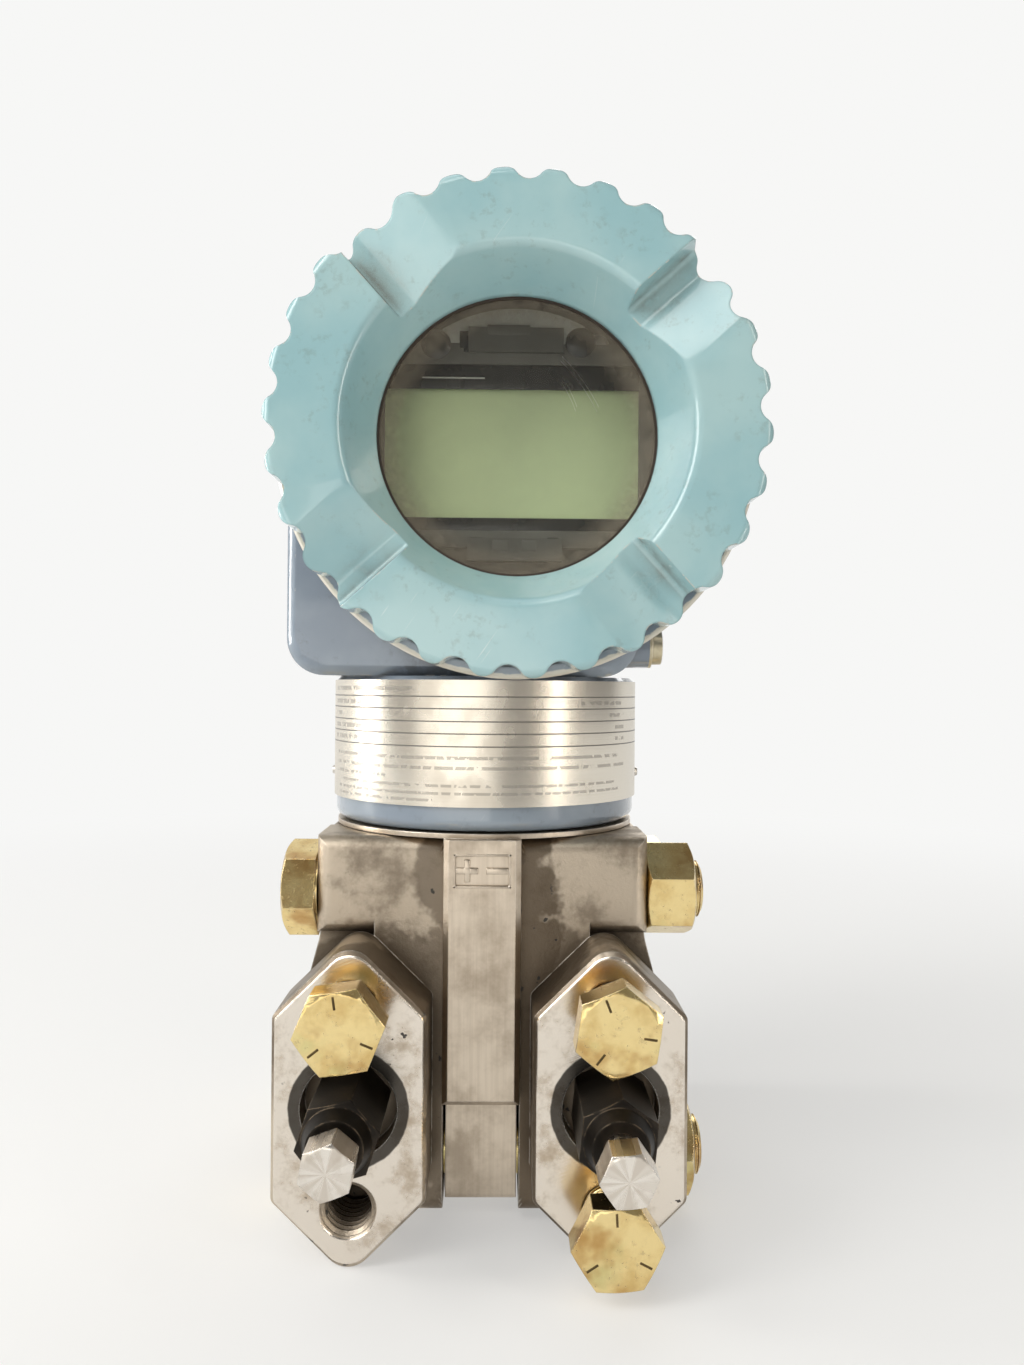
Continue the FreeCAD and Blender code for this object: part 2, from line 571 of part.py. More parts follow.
def conduit_plug():
    """Square-socket pipe plug, flush in the right-hand conduit entry."""
    plug = rod_x(CONDUIT_RADIUS, HUB_END - 15.0, HUB_END - 0.8, CONDUIT_Y, CONDUIT_Z)
    socket = box(HUB_END - 9.0, HUB_END, CONDUIT_Y - 4.8, CONDUIT_Y + 4.8, CONDUIT_Z - 4.8, CONDUIT_Z + 4.8)
    return plug.cut(socket)


def housing_set_screw():
    return rod_y(2.1, NECK_Y + NECK_RADIUS - 12.0, NECK_Y + NECK_RADIUS - 1.5, 0, 58.0)


# ---- display and electronics ----------------------------------------------------------------
DISPLAY_FRONT = NECK_Y - 33.0
PANEL_X = (-22.5, 34.0)
PANEL_Z = (124.5, 154.0)


def display_bezel():
    """Round moulded frame with the panel window and two snap clips."""
    plate = turned_y([(0, DISPLAY_FRONT, 0), (36.5, DISPLAY_FRONT, -0.8), (36.5, DISPLAY_FRONT + 7.0, 0),
                      (0, DISPLAY_FRONT + 7.0, 0)], BARREL_X, BARREL_Z)
    window = box(PANEL_X[0], PANEL_X[1], DISPLAY_FRONT - 1, DISPLAY_FRONT + 8, PANEL_Z[0], PANEL_Z[1])
    relief = box(BARREL_X - 40, BARREL_X + 40, DISPLAY_FRONT - 1, DISPLAY_FRONT + 2.0, 162.0, 180.0)
    lower_relief = box(BARREL_X - 40, BARREL_X + 40, DISPLAY_FRONT - 1, DISPLAY_FRONT + 2.0, 98.0, 119.0)
    frame = plate.cut(Part.makeCompound([window, relief, lower_relief]))
    clips = []
    for z_start, z_end in ((161.0, 166.5), (115.0, 120.0)):
        clips.append(box(-4.0, 17.0, DISPLAY_FRONT - 1.5, DISPLAY_FRONT + 3.0, z_start, z_end))
    return fused([frame] + clips)


def display_panel():
    """Liquid crystal panel, seated just behind the front of its window."""
    return box(PANEL_X[0], PANEL_X[1], DISPLAY_FRONT + 1.6, DISPLAY_FRONT + 4.2, PANEL_Z[0], PANEL_Z[1])


def display_board():
    return rod_y(38.0, DISPLAY_FRONT + 7.0, DISPLAY_FRONT + 8.8, BARREL_X, BARREL_Z)


def display_screw(x, z):
    head = Part.makeCone(2.0, 2.6, 1.6, Vector(x, DISPLAY_FRONT - 0.2, z), Y_AXIS)
    return fused([head, rod_y(1.3, DISPLAY_FRONT + 1.0, DISPLAY_FRONT + 9.5, x, z)])


def electronics_module():
    """Potted module behind the display board, standing on the partition."""
    start = DISPLAY_FRONT + 8.8
    can = turned_y([(0, start, 0), (40.0, start, 0), (40.0, start + 3.0, 0), (34.0, start + 3.0, 0),
                    (34.0, NECK_Y - WALL_FRONT, 0), (0, NECK_Y - WALL_FRONT, 0)], BARREL_X, BARREL_Z)
    return can


def terminal_block():
    """Moulded terminal block on the rear side of the partition, with three ribbed bays."""
    floor = NECK_Y - WALL_BACK
    base = prism_y(rectangle(BARREL_X - 25, BARREL_X + 25, BARREL_Z - 16, BARREL_Z + 16, 4.0), floor, floor + 8.0)
    ribs = [base]
    for x in (-21.0, -7.0, 7.0, 21.0):
        ribs.append(box(BARREL_X + x - 1.2, BARREL_X + x + 1.2, floor + 7.5, floor + 14.0,
                        BARREL_Z - 13, BARREL_Z + 13))
    return fused(ribs)


def terminal_screw(x):
    floor = NECK_Y - WALL_BACK + 8.0
    clamp = box(BARREL_X + x - 4.6, BARREL_X + x + 4.6, floor, floor + 1.2, BARREL_Z - 5, BARREL_Z + 5)
    head = rod_y(3.6, floor + 1.2, floor + 4.0, BARREL_X + x, BARREL_Z)
    slot = box(BARREL_X + x - 4, BARREL_X + x + 4, floor + 3.0, floor + 4.2, BARREL_Z - 0.5, BARREL_Z + 0.5)
    return fused([clamp, head]).cut(slot)


# ---- screwed covers -------------------------------------------------------------------------
def scallop_wire(y):
    """Rim outline: convex crests and concave notches, each arc tangent to the next."""
    crest_centre = COVER_TIP - CREST_ARC
    inner = COVER_NOTCH - CREST_ARC
    step = math.pi / SCALLOPS
    notch_centre = (crest_centre ** 2 - inner ** 2) / (2.0 * (crest_centre * math.cos(step) - inner))
    phase = math.radians(SCALLOP_PHASE)

    def polar(radius, angle):
        return Vector(BARREL_X + radius * math.cos(angle), y, BARREL_Z + radius * math.sin(angle))

    edges = []
    for index in range(SCALLOPS):
        crest = phase + 2.0 * step * index
        share = CREST_ARC / (CREST_ARC + notch_centre - COVER_NOTCH)
        tangents = []
        for side in (-1, 1, 3):
            peak = crest if side < 2 else crest + 2.0 * step
            notch = crest + side * step if side < 2 else crest + step
            start = polar(crest_centre, peak)
            tangents.append(start + (polar(notch_centre, notch) - start) * share)
        edges.append(Part.Arc(tangents[0], polar(COVER_TIP, crest), tangents[1]).toShape())
        edges.append(Part.Arc(tangents[1], polar(COVER_NOTCH, crest + step), tangents[2]).toShape())
    return Part.Wire(edges)


def cover_groove(direction):
    """Cutter for one wide groove across the rim: a long slope, a narrow floor and a steep wall."""
    top = NECK_Y - COVER_FRONT
    section = [(GROOVE_START - GROOVE_RUN_OUT, top - 2.0, 0), (GROOVE_FLOOR, top + GROOVE_DEPTH, 4.0),
               (GROOVE_WALL, top + GROOVE_DEPTH, 1.2), (GROOVE_WALL + 1.4, top - 2.0, 0)]
    wire = rounded_wire(section, lambda side, y: Vector(20.0, y, side))
    cutter = Part.Face(wire).extrude(Vector(40.0, 0, 0))
    cutter.rotate(Vector(0, 0, 0), Y_AXIS, -direction)
    cutter.translate(Vector(BARREL_X, 0, BARREL_Z))
    return cutter


def screwed_cover(windowed):
    """Cast cover at the front: scalloped rim, crest band, bevel, threaded skirt, lip or disc."""
    crest = NECK_Y - COVER_FRONT
    lip = crest + 11.2
    back = NECK_Y - COVER_BACK
    skirt = NECK_Y - SKIRT_END
    face = [(35.4, crest, 2.4), (COVER_TIP + 0.3, crest, 2.2), (COVER_TIP + 0.3, back, -0.6)]
    if windowed:
        middle = [(34.8, back, 0), (34.8, lip + 1.4, 0), (WINDOW_RADIUS, lip + 1.4, 0),
                  (WINDOW_RADIUS, lip, -0.3)]
        seat = [(34.8, back - 1.0, 0), (34.8, lip + 7.0, 0), (SKIRT_BORE, lip + 7.0, 0)]
    else:
        middle = [(SKIRT_BORE, back, 0), (SKIRT_BORE, lip + 4.0, 0), (0, lip + 4.0, 0), (0, lip, 0),
                  (WINDOW_RADIUS - 0.4, lip, 1.0)]
        seat = [(SKIRT_BORE, back - 1.0, 0)]
    outline = Part.Face(scallop_wire(crest - 1.0)).extrude(Vector(0, back - crest + 2.0, 0))
    rim = turned_y(face + middle, BARREL_X, BARREL_Z).common(outline)
    collar = turned_y(seat + [(SKIRT_BORE, skirt, 0), (THREAD_RADIUS, skirt, -0.6), (THREAD_RADIUS, back - 1.0, 0)],
                      BARREL_X, BARREL_Z)
    grooves = [cover_groove(GROOVE_DIRECTION + 90.0 * index) for index in range(4)]
    return fused([rim, collar]).cut(Part.makeCompound(grooves))


def window_gasket():
    lip = NECK_Y - COVER_FRONT + 11.2
    outer = rod_y(34.4, lip + 1.4, lip + 1.9, BARREL_X, BARREL_Z)
    return outer.cut(rod_y(WINDOW_RADIUS - 0.5, lip + 1.3, lip + 2.0, BARREL_X, BARREL_Z))


def window_glass():
    lip = NECK_Y - COVER_FRONT + 11.2
    return rod_y(34.5, lip + 1.9, lip + 7.0, BARREL_X, BARREL_Z)


def window_retainer():
    """Threaded ring that holds the glass, with four spanner notches."""
    lip = NECK_Y - COVER_FRONT + 11.2
    body = turned_y([(31.5, lip + 7.0, -0.5), (SKIRT_BORE, lip + 7.0, 0), (SKIRT_BORE, lip + 10.5, 0),
                     (31.5, lip + 10.5, -0.5)], BARREL_X, BARREL_Z)
    slots = []
    for index in range(4):
        slot = box(30.0, 34.0, lip + 8.5, lip + 12.0, -2.0, 2.0)
        slot.rotate(Vector(0, 0, 0), Y_AXIS, 90.0 * index)
        slot.translate(Vector(BARREL_X, 0, BARREL_Z))
        slots.append(slot)
    return body.cut(Part.makeCompound(slots))


def cover_seal():
    """O-ring in the corner between the cover's rim and its skirt, its section an octagon."""
    inner = THREAD_RADIUS + 0.25
    start = NECK_Y - COVER_BACK + 0.1
    section = [(inner, start, -0.5), (inner + 1.7, start, -0.5), (inner + 1.7, start + 1.7, -0.5),
               (inner, start + 1.7, -0.5)]
    return turned_y(section, BARREL_X, BARREL_Z)


# ---- all pieces -----------------------------------------------------------------------------
def all_pieces():
    cover_low = process_cover()
    gasket = process_gasket()
    diaphragm = isolating_diaphragm()
    bolts = []
    nuts = []
    for index, (y, z) in enumerate(BOLTS):
        bolts.append(through_bolt(y, z, 14.0 + 23.0 * index))
        nuts.append(bolt_nut(y, z, 9.0 + 17.0 * index))
    screws = [flange_screw(-PORT_X, HOLE_Z, 8.0), flange_screw(PORT_X, HOLE_Z, 22.0),
              flange_screw(PORT_X, -HOLE_Z, 3.0)]
    plate_screws = [plate_screw(180.0, 66.0), plate_screw(0.0, 66.0)]
    display_screws = Part.makeCompound([display_screw(BARREL_X + x, BARREL_Z + z)
                                        for x in (-18.0, 18.0) for z in (-25.0, 24.0)])
    rear_seal = turned_round(cover_seal())
    rear_cover = turned_round(screwed_cover(False))
    return {
        "sensor_core": sensor_core(),
        "process_cover_high": mirrored_x(cover_low),
        "process_cover_low": cover_low,
        "process_gasket_high": mirrored_x(gasket),
        "process_gasket_low": gasket,
        "diaphragm_high": mirrored_x(diaphragm),
        "diaphragm_low": diaphragm,
        "cover_bolts": Part.makeCompound(bolts),
        "cover_nuts": Part.makeCompound(nuts),
        "flange_screws": Part.makeCompound(screws),
        "vent_body_high": vent_body(-1, 12.0),
        "vent_body_low": vent_body(1, 25.0),
        "vent_screw_high": vent_screw(-1, VENT_STAND_HIGH, 20.0),
        "vent_screw_low": vent_screw(1, VENT_STAND_LOW, 5.0),
        "housing_casting": housing_casting(),
        "data_plate": data_plate(),
        "plate_screws": Part.makeCompound(plate_screws),
        "ground_screw": ground_screw(),
        "conduit_plug": conduit_plug(),
        "housing_set_screw": housing_set_screw(),
        "display_bezel": display_bezel().cut(display_screws),
        "display_panel": display_panel(),
        "display_board": display_board().cut(display_screws),
        "display_screws": display_screws,
        "electronics_module": electronics_module().cut(display_screws),
        "terminal_block": terminal_block(),
        "terminal_screws": Part.makeCompound([terminal_screw(x) for x in (-14.0, 0.0, 14.0)]),
        "front_seal": cover_seal(),
        "front_cover": screwed_cover(True),
        "window_gasket": window_gasket(),
        "window_glass": window_glass(),
        "window_retainer": window_retainer(),
        "rear_seal": rear_seal,
        "rear_cover": rear_cover,
    }


def main():
    os.makedirs("parts", exist_ok=True)
    for name, shape in all_pieces().items():
        shape.exportStep("parts/" + name + ".step")
        print(name, "valid" if shape.isValid() else "NOT VALID", round(shape.Volume), len(shape.Faces))


main()
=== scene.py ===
"""Looks of a differential pressure transmitter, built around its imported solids."""
import logging
import math
from dataclasses import dataclass, field
from enum import Enum

import bmesh
import bpy
from mathutils import Matrix, Vector


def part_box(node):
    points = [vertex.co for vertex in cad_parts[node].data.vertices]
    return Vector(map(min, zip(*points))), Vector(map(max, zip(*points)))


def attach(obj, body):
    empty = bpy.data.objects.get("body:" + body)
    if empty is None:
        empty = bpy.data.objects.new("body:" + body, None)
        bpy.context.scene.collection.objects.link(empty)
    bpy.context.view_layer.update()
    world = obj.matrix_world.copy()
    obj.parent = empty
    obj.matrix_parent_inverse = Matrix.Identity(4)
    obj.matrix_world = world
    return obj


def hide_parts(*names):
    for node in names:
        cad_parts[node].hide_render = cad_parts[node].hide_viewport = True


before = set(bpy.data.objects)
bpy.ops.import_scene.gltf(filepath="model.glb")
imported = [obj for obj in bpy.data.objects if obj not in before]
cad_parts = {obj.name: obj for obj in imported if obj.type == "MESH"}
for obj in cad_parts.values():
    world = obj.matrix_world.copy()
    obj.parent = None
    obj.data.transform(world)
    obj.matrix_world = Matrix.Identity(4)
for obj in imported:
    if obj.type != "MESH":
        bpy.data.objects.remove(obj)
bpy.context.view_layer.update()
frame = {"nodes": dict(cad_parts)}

LOG = logging.getLogger("transmitter")
MM = 0.001
Colour = tuple[float, float, float]
Point = tuple[float, float, float]


class Body(Enum):
    """Rigid bodies of the transmitter, by the names of the frame."""

    SENSOR = "sensor"
    HOUSING = "housing"
    HIGH_VENT = "high_vent"
    LOW_VENT = "low_vent"
    FRONT_RING = "front_ring"
    FRONT_LID = "front_lid"
    REAR_RING = "rear_ring"
    REAR_LID = "rear_lid"


class Operation(Enum):
    """Arithmetic of the shading maths node."""

    ADD = "ADD"
    SUBTRACT = "SUBTRACT"
    MULTIPLY = "MULTIPLY"
    DIVIDE = "DIVIDE"
    ABSOLUTE = "ABSOLUTE"
    MAXIMUM = "MAXIMUM"
    MINIMUM = "MINIMUM"
    ANGLE = "ARCTAN2"
    POWER = "POWER"
    FRACTION = "FRACT"
    LESS = "LESS_THAN"
    MORE = "GREATER_THAN"


# ---- node writing -----------------------------------------------------------------------------
class Shading:
    """Node tree of one material, written as expressions that return sockets."""

    def __init__(self, name: str) -> None:
        """Start an empty tree with a principled surface.

        Args:
            name: Name of the material.
        """
        self.material = bpy.data.materials.new(name)
        self.material.use_nodes = True
        self.tree = self.material.node_tree
        self.tree.nodes.clear()
        self.output = self.tree.nodes.new("ShaderNodeOutputMaterial")
        self.surface = self.tree.nodes.new("ShaderNodeBsdfPrincipled")
        self.tree.links.new(self.surface.outputs[0], self.output.inputs["Surface"])

    def node(self, kind: str, settings: dict | None = None, inputs: dict | None = None) -> bpy.types.Node:
        """Add a node.

        Args:
            kind: Blender's name of the node type.
            settings: Properties of the node itself.
            inputs: Values or sockets, by the input's name or number.

        Returns:
            The new node.
        """
        made = self.tree.nodes.new(kind)
        for key, value in (settings or {}).items():
            setattr(made, key, value)
        for key, value in (inputs or {}).items():
            self.feed(made.inputs[key], value)
        return made

    def feed(self, socket: bpy.types.NodeSocket, value: object) -> None:
        """Link a socket, or set its value.

        Args:
            socket: The input to fill.
            value: Another node's output, a number or a colour.
        """
        if isinstance(value, bpy.types.NodeSocket):
            self.tree.links.new(value, socket)
        elif isinstance(value, tuple) and len(value) == 3 and socket.type == "RGBA":
            socket.default_value = (*value, 1.0)
        else:
            socket.default_value = value

    def set(self, **values: object) -> None:
        """Fill inputs of the principled surface; an underscore stands for a blank."""
        for key, value in values.items():
            self.feed(self.surface.inputs[key.replace("_", " ")], value)

    def place(self) -> bpy.types.NodeSocket:
        """Position on the object, in metres."""
        return self.node("ShaderNodeTexCoord").outputs["Object"]

    def axes(self) -> tuple[bpy.types.NodeSocket, ...]:
        """X, Y and Z of the position on the object."""
        split = self.node("ShaderNodeSeparateXYZ", inputs={0: self.place()})
        return tuple(split.outputs)

    def stretched(self, scale: Point, turn: Point = (0.0, 0.0, 0.0)) -> bpy.types.NodeSocket:
        """Position turned and then scaled unevenly, for grain that runs one way.

        Args:
            scale: Features per metre along each axis.
            turn: Rotation in radians.

        Returns:
            The mapped position.
        """
        turned = self.node("ShaderNodeMapping", inputs={"Vector": self.place(), "Rotation": turn})
        scaled = self.node("ShaderNodeMapping", inputs={"Vector": turned.outputs[0], "Scale": scale})
        return scaled.outputs[0]

    def noise(self, vector: bpy.types.NodeSocket, scale: float = 1.0, detail: float = 3.0,
              roughness: float = 0.55) -> bpy.types.NodeSocket:
        """Cloudy noise between 0 and 1.

        Args:
            vector: Where to read it.
            scale: Features per unit of the vector.
            detail: Octaves.
            roughness: Weight of the finer octaves.

        Returns:
            The noise value.
        """
        made = self.node("ShaderNodeTexNoise", inputs={
            "Vector": vector, "Scale": scale, "Detail": detail, "Roughness": roughness})
        return made.outputs[0]

    def span(self, value: object, low: float, high: float, to_low: float = 0.0,
             to_high: float = 1.0) -> bpy.types.NodeSocket:
        """Map a stretch of values onto another, clamped and smooth.

        Args:
            value: The value to map.
            low: Value that gives to_low.
            high: Value that gives to_high.
            to_low: Result at low.
            to_high: Result at high.

        Returns:
            The mapped value.
        """
        made = self.node("ShaderNodeMapRange", {"interpolation_type": "SMOOTHSTEP"},
                         {0: value, 1: low, 2: high, 3: to_low, 4: to_high})
        return made.outputs[0]

    def sum(self, operation: Operation, first: object, second: object = 0.0) -> bpy.types.NodeSocket:
        """One step of arithmetic on two values."""
        made = self.node("ShaderNodeMath", {"operation": operation.value}, {0: first, 1: second})
        return made.outputs[0]

    def mix(self, share: object, first: object, second: object) -> bpy.types.NodeSocket:
        """Blend of two colours by a share of the second."""
        made = self.node("ShaderNodeMix", {"data_type": "RGBA"}, {0: share, 6: first, 7: second})
        return made.outputs[2]

    def bump(self, height: object, strength: float, reach: float,
             normal: bpy.types.NodeSocket | None = None) -> bpy.types.NodeSocket:
        """Surface normal tilted by a height.

        Args:
            height: Height between 0 and 1.
            strength: How much of it shows.
            reach: Depth that a height of 1 stands for, in metres.
            normal: Normal to start from.

        Returns:
            The tilted normal.
        """
        inputs = {"Strength": strength, "Distance": reach, "Height": height}
        if normal is not None:
            inputs["Normal"] = normal
        return self.node("ShaderNodeBump", inputs=inputs).outputs[0]

    def soft_normal(self, reach: float) -> bpy.types.NodeSocket:
        """Normal that rounds sharp edges off.

        Args:
            reach: Radius of the rounding, in metres.

        Returns:
            The normal.
        """
        return self.node("ShaderNodeBevel", {"samples": 5}, {"Radius": reach}).outputs[0]

    def edges(self, reach: float) -> bpy.types.NodeSocket:
        """Mask that is 1 on edges and 0 on open faces.

        Args:
            reach: Width of the edge, in metres.

        Returns:
            The mask.
        """
        soft = self.node("ShaderNodeBevel", {"samples": 6}, {"Radius": reach})
        true = self.node("ShaderNodeNewGeometry")
        dot = self.node("ShaderNodeVectorMath", {"operation": "DOT_PRODUCT"},
                        {0: soft.outputs[0], 1: true.outputs["Normal"]})
        return self.span(dot.outputs["Value"], 0.99, 0.86)

    def hollows(self, reach: float) -> bpy.types.NodeSocket:
        """Mask that is 1 deep in corners and 0 on open faces.

        Args:
            reach: How far from the corner it starts, in metres.

        Returns:
            The mask.
        """
        made = self.node("ShaderNodeAmbientOcclusion", {"samples": 8, "only_local": True}, {"Distance": reach})
        return self.span(made.outputs["AO"], 0.92, 0.35)


# ---- finishes ---------------------------------------------------------------------------------
@dataclass(frozen=True)
class Enamel:
    """Glossy stoved enamel with chips, grime in the corners and light scratches."""

    name: str
    colour: Colour
    faded: Colour
    chip_and_rim_highlight: Colour
    grime: Colour
    gloss: float = 0.26
    chipping: float = 0.52
    griming: float = 0.85
    rounding: float = 0.7 * MM
    bare_and_highlight_rim: tuple[float, float, float, float] = (0.0, 0.0, 1.0, 0.0)

    def make(self) -> bpy.types.Material:
        """Build the material."""
        look = Shading(self.name)
        place = look.place()
        patches = look.span(look.noise(place, 38.0, 4.0), 0.35, 0.68)
        paint = look.mix(patches, self.colour, self.faded)
        speckle = look.noise(place, 420.0, 4.0, 0.7)
        blotch = look.span(look.noise(place, 85.0, 3.0, 0.6), 0.36, 0.62)
        corners = look.span(look.hollows(9.0 * MM), 0.06, 0.55)
        dirty = look.sum(Operation.MULTIPLY, corners, look.span(speckle, 0.20, 0.50))
        dirty = look.sum(Operation.MULTIPLY, dirty, look.span(blotch, 0.0, 1.0, 0.45, 1.0))
        paint = look.mix(look.sum(Operation.MULTIPLY, dirty, self.griming), paint, self.grime)
        film = look.sum(Operation.MULTIPLY, look.span(speckle, 0.52, 0.70), look.span(blotch, 0.3, 1.0, 0.0, 0.22))
        paint = look.mix(film, paint, self.grime)
        scratch = look.noise(look.stretched((60.0, 60.0, 2600.0), (0.5, 0.9, 0.4)), 1.0, 2.0)
        scratches = look.sum(Operation.MULTIPLY, look.span(scratch, 0.71, 0.76), look.span(patches, 0.3, 0.9))
        paint = look.mix(look.sum(Operation.MULTIPLY, scratches, 0.35), paint, (0.75, 0.77, 0.76))
        worn = look.sum(Operation.MULTIPLY, look.edges(0.6 * MM),
                        look.span(look.noise(place, 240.0, 5.0, 0.7), self.chipping, self.chipping + 0.05))
        # The rim mask is partly bare metal and partly a painted highlight, in the chip colour.
        worn = look.sum(Operation.MAXIMUM, worn, self.rim(look, speckle))
        paint = look.mix(worn, paint, self.chip_and_rim_highlight)
        ripple = look.bump(look.noise(place, 170.0, 3.0), 0.16, 0.25 * MM, look.soft_normal(self.rounding))
        ripple = look.bump(look.sum(Operation.ADD, scratches, worn), -0.25, 0.06 * MM, ripple)
        look.set(Base_Color=paint, Roughness=look.span(dirty, 0.0, 1.0, self.gloss, 0.62), Normal=ripple,
                 Coat_Weight=0.75, Coat_Roughness=0.07)
        return look.material

    def rim(self, look: Shading, speckle: bpy.types.NodeSocket) -> bpy.types.NodeSocket:
        """Mask of a flange edge rubbed bare and painted bright as a highlight; the rim is X, Z, radius and the Y it
        lies in front of, in metres.

        Args:
            look: The material being written.
            speckle: Fine noise that frays the edge.

        Returns:
            The mask.
        """
        middle, height, radius, back = self.bare_and_highlight_rim
        x, y, z = look.axes()[:3]
        spot = look.node("ShaderNodeCombineXYZ", inputs={0: look.sum(Operation.SUBTRACT, x, middle),
                                                        2: look.sum(Operation.SUBTRACT, z, height)})
        length = look.node("ShaderNodeVectorMath", {"operation": "LENGTH"}, {0: spot.outputs[0]})
        reach = look.sum(Operation.ADD, length.outputs["Value"], look.sum(Operation.MULTIPLY, speckle, 1.0 * MM))
        outside = look.span(reach, radius - 0.3 * MM, radius + 0.1 * MM)
        outside = look.sum(Operation.MULTIPLY, outside, look.sum(Operation.LESS, reach, radius + 1.4 * MM))
        return look.sum(Operation.MULTIPLY, outside, look.sum(Operation.LESS, y, back))


@dataclass(frozen=True)
class CastSteel:
    """Cast stainless steel with grain and stains, painted shade in its corners and a painted shadow beside the column,
    smooth where it was milled.
    """

    name: str
    colour: Colour
    stain_and_shade: Colour
    milled: Colour
    smoked: Colour
    faces: tuple[float, float]
    ports: tuple[float, float]

    def make(self) -> bpy.types.Material:
        """Build the material; faces are the milled planes across Y and ports the two X, in metres."""
        look = Shading(self.name)
        place = look.place()
        x, across, z = look.axes()[:3]
        grain = look.noise(place, 1500.0, 4.0, 0.65)
        lumps = look.noise(place, 230.0, 3.0)
        stains = look.span(look.noise(place, 62.0, 5.0, 0.68), 0.44, 0.66)
        # Painted shade: the metal is darkened deep in its corners, as well as by the stains.
        corners = look.hollows(9.0 * MM)
        dark = look.sum(Operation.MAXIMUM, look.sum(Operation.MULTIPLY, stains, 0.6), corners)
        metal = look.mix(dark, self.colour, self.stain_and_shade)
        # Dark stain plus a painted shadow of the column and painted shade below the ears.
        metal = look.mix(self.stain_and_painted_shadow(look, x, z), metal, self.stain_and_shade)
        low = look.sum(Operation.LESS, across, self.faces[0] + 0.25 * MM)
        high = look.sum(Operation.MORE, across, self.faces[1] - 0.25 * MM)
        milled = look.sum(Operation.MAXIMUM, low, high)
        smear = look.span(look.noise(place, 90.0, 5.0, 0.7), 0.46, 0.70)
        faced = look.mix(smear, self.milled, self.smoked)
        faced = look.mix(self.gasket_stain(look, x, z), faced, (0.035, 0.03, 0.025))
        metal = look.mix(milled, metal, faced)
        specks = look.span(look.noise(place, 300.0, 3.0, 0.6), 0.655, 0.68)
        near = look.span(look.noise(place, 40.0, 1.0), 0.50, 0.58)
        specks = look.sum(Operation.MULTIPLY, specks, near)
        metal = look.mix(look.sum(Operation.MULTIPLY, specks, 0.92), metal, (0.012, 0.011, 0.010))
        rubbed = look.sum(Operation.MULTIPLY, look.edges(0.5 * MM), look.span(lumps, 0.3, 0.55))
        metal = look.mix(look.sum(Operation.MULTIPLY, rubbed, 0.75), metal, (0.88, 0.83, 0.76))
        marks = look.noise(look.stretched((140.0, 140.0, 3800.0), (0.0, 0.35, 0.0)), 1.0, 2.0)
        rough = look.mix(milled, look.span(dark, 0.0, 1.0, 0.42, 0.62), look.span(smear, 0.0, 1.0, 0.22, 0.36))
        height = look.mix(milled, look.sum(Operation.ADD, grain, look.sum(Operation.MULTIPLY, lumps, 0.8)),
                          look.sum(Operation.MULTIPLY, marks, 0.12))
        shine = look.span(specks, 0.0, 1.0, 1.0, 0.0)
        look.set(Base_Color=metal, Metallic=shine, Roughness=rough,
                 Normal=look.bump(height, 0.5, 0.22 * MM, look.soft_normal(0.5 * MM)))
        return look.material

    def stain_and_painted_shadow(self, look: Shading, x: bpy.types.NodeSocket, z: bpy.types.NodeSocket) -> bpy.types.NodeSocket:
        """Mask of a dark stain and a painted shadow beside the column, wider on the right where the column's shadow
        falls, and of painted shade below the ears.

        Args:
            look: The material being written.
            x: Position across.
            z: Height.

        Returns:
            The mask.
        """
        ragged = look.span(look.noise(look.place(), 75.0, 4.0, 0.6), 0.3, 0.7, -4.0 * MM, 4.0 * MM)
        across = look.sum(Operation.ADD, x, ragged)
        right = look.sum(Operation.MULTIPLY, look.span(across, 15.0 * MM, 18.0 * MM, 0.9, 0.0),
                         look.sum(Operation.MORE, x, 0.0))
        left = look.sum(Operation.MULTIPLY, look.span(across, -13.5 * MM, -10.5 * MM, 0.0, 0.7),
                        look.sum(Operation.LESS, x, 0.0))
        level = look.sum(Operation.ADD, z, ragged)
        below = look.sum(Operation.MULTIPLY, look.span(level, 30.0 * MM, 33.0 * MM, 0.7, 0.0),
                         look.span(level, -5.0 * MM, 12.0 * MM))
        return look.sum(Operation.MAXIMUM, look.sum(Operation.MAXIMUM, right, left), below)

    def gasket_stain(self, look: Shading, x: bpy.types.NodeSocket,
                     z: bpy.types.NodeSocket) -> bpy.types.NodeSocket:
        """Mask of the dark ring that a gasket left round each port.

        Args:
            look: The material being written.
            x: Position across.
            z: Height.

        Returns:
            The mask.
        """
        side = look.sum(Operation.MORE, x, 0.0)
        middle = look.span(side, 0.0, 1.0, self.ports[0], self.ports[1])
        spot = look.node("ShaderNodeCombineXYZ", inputs={0: look.sum(Operation.SUBTRACT, x, middle), 2: z})
        length = look.node("ShaderNodeVectorMath", {"operation": "LENGTH"}, {0: spot.outputs[0]})
        ragged = look.sum(Operation.MULTIPLY, look.noise(look.place(), 260.0, 3.0), 0.7 * MM)
        reach = look.sum(Operation.ADD, length.outputs["Value"], ragged)
        return look.span(reach, 12.6 * MM, 13.0 * MM, 0.93, 0.0)


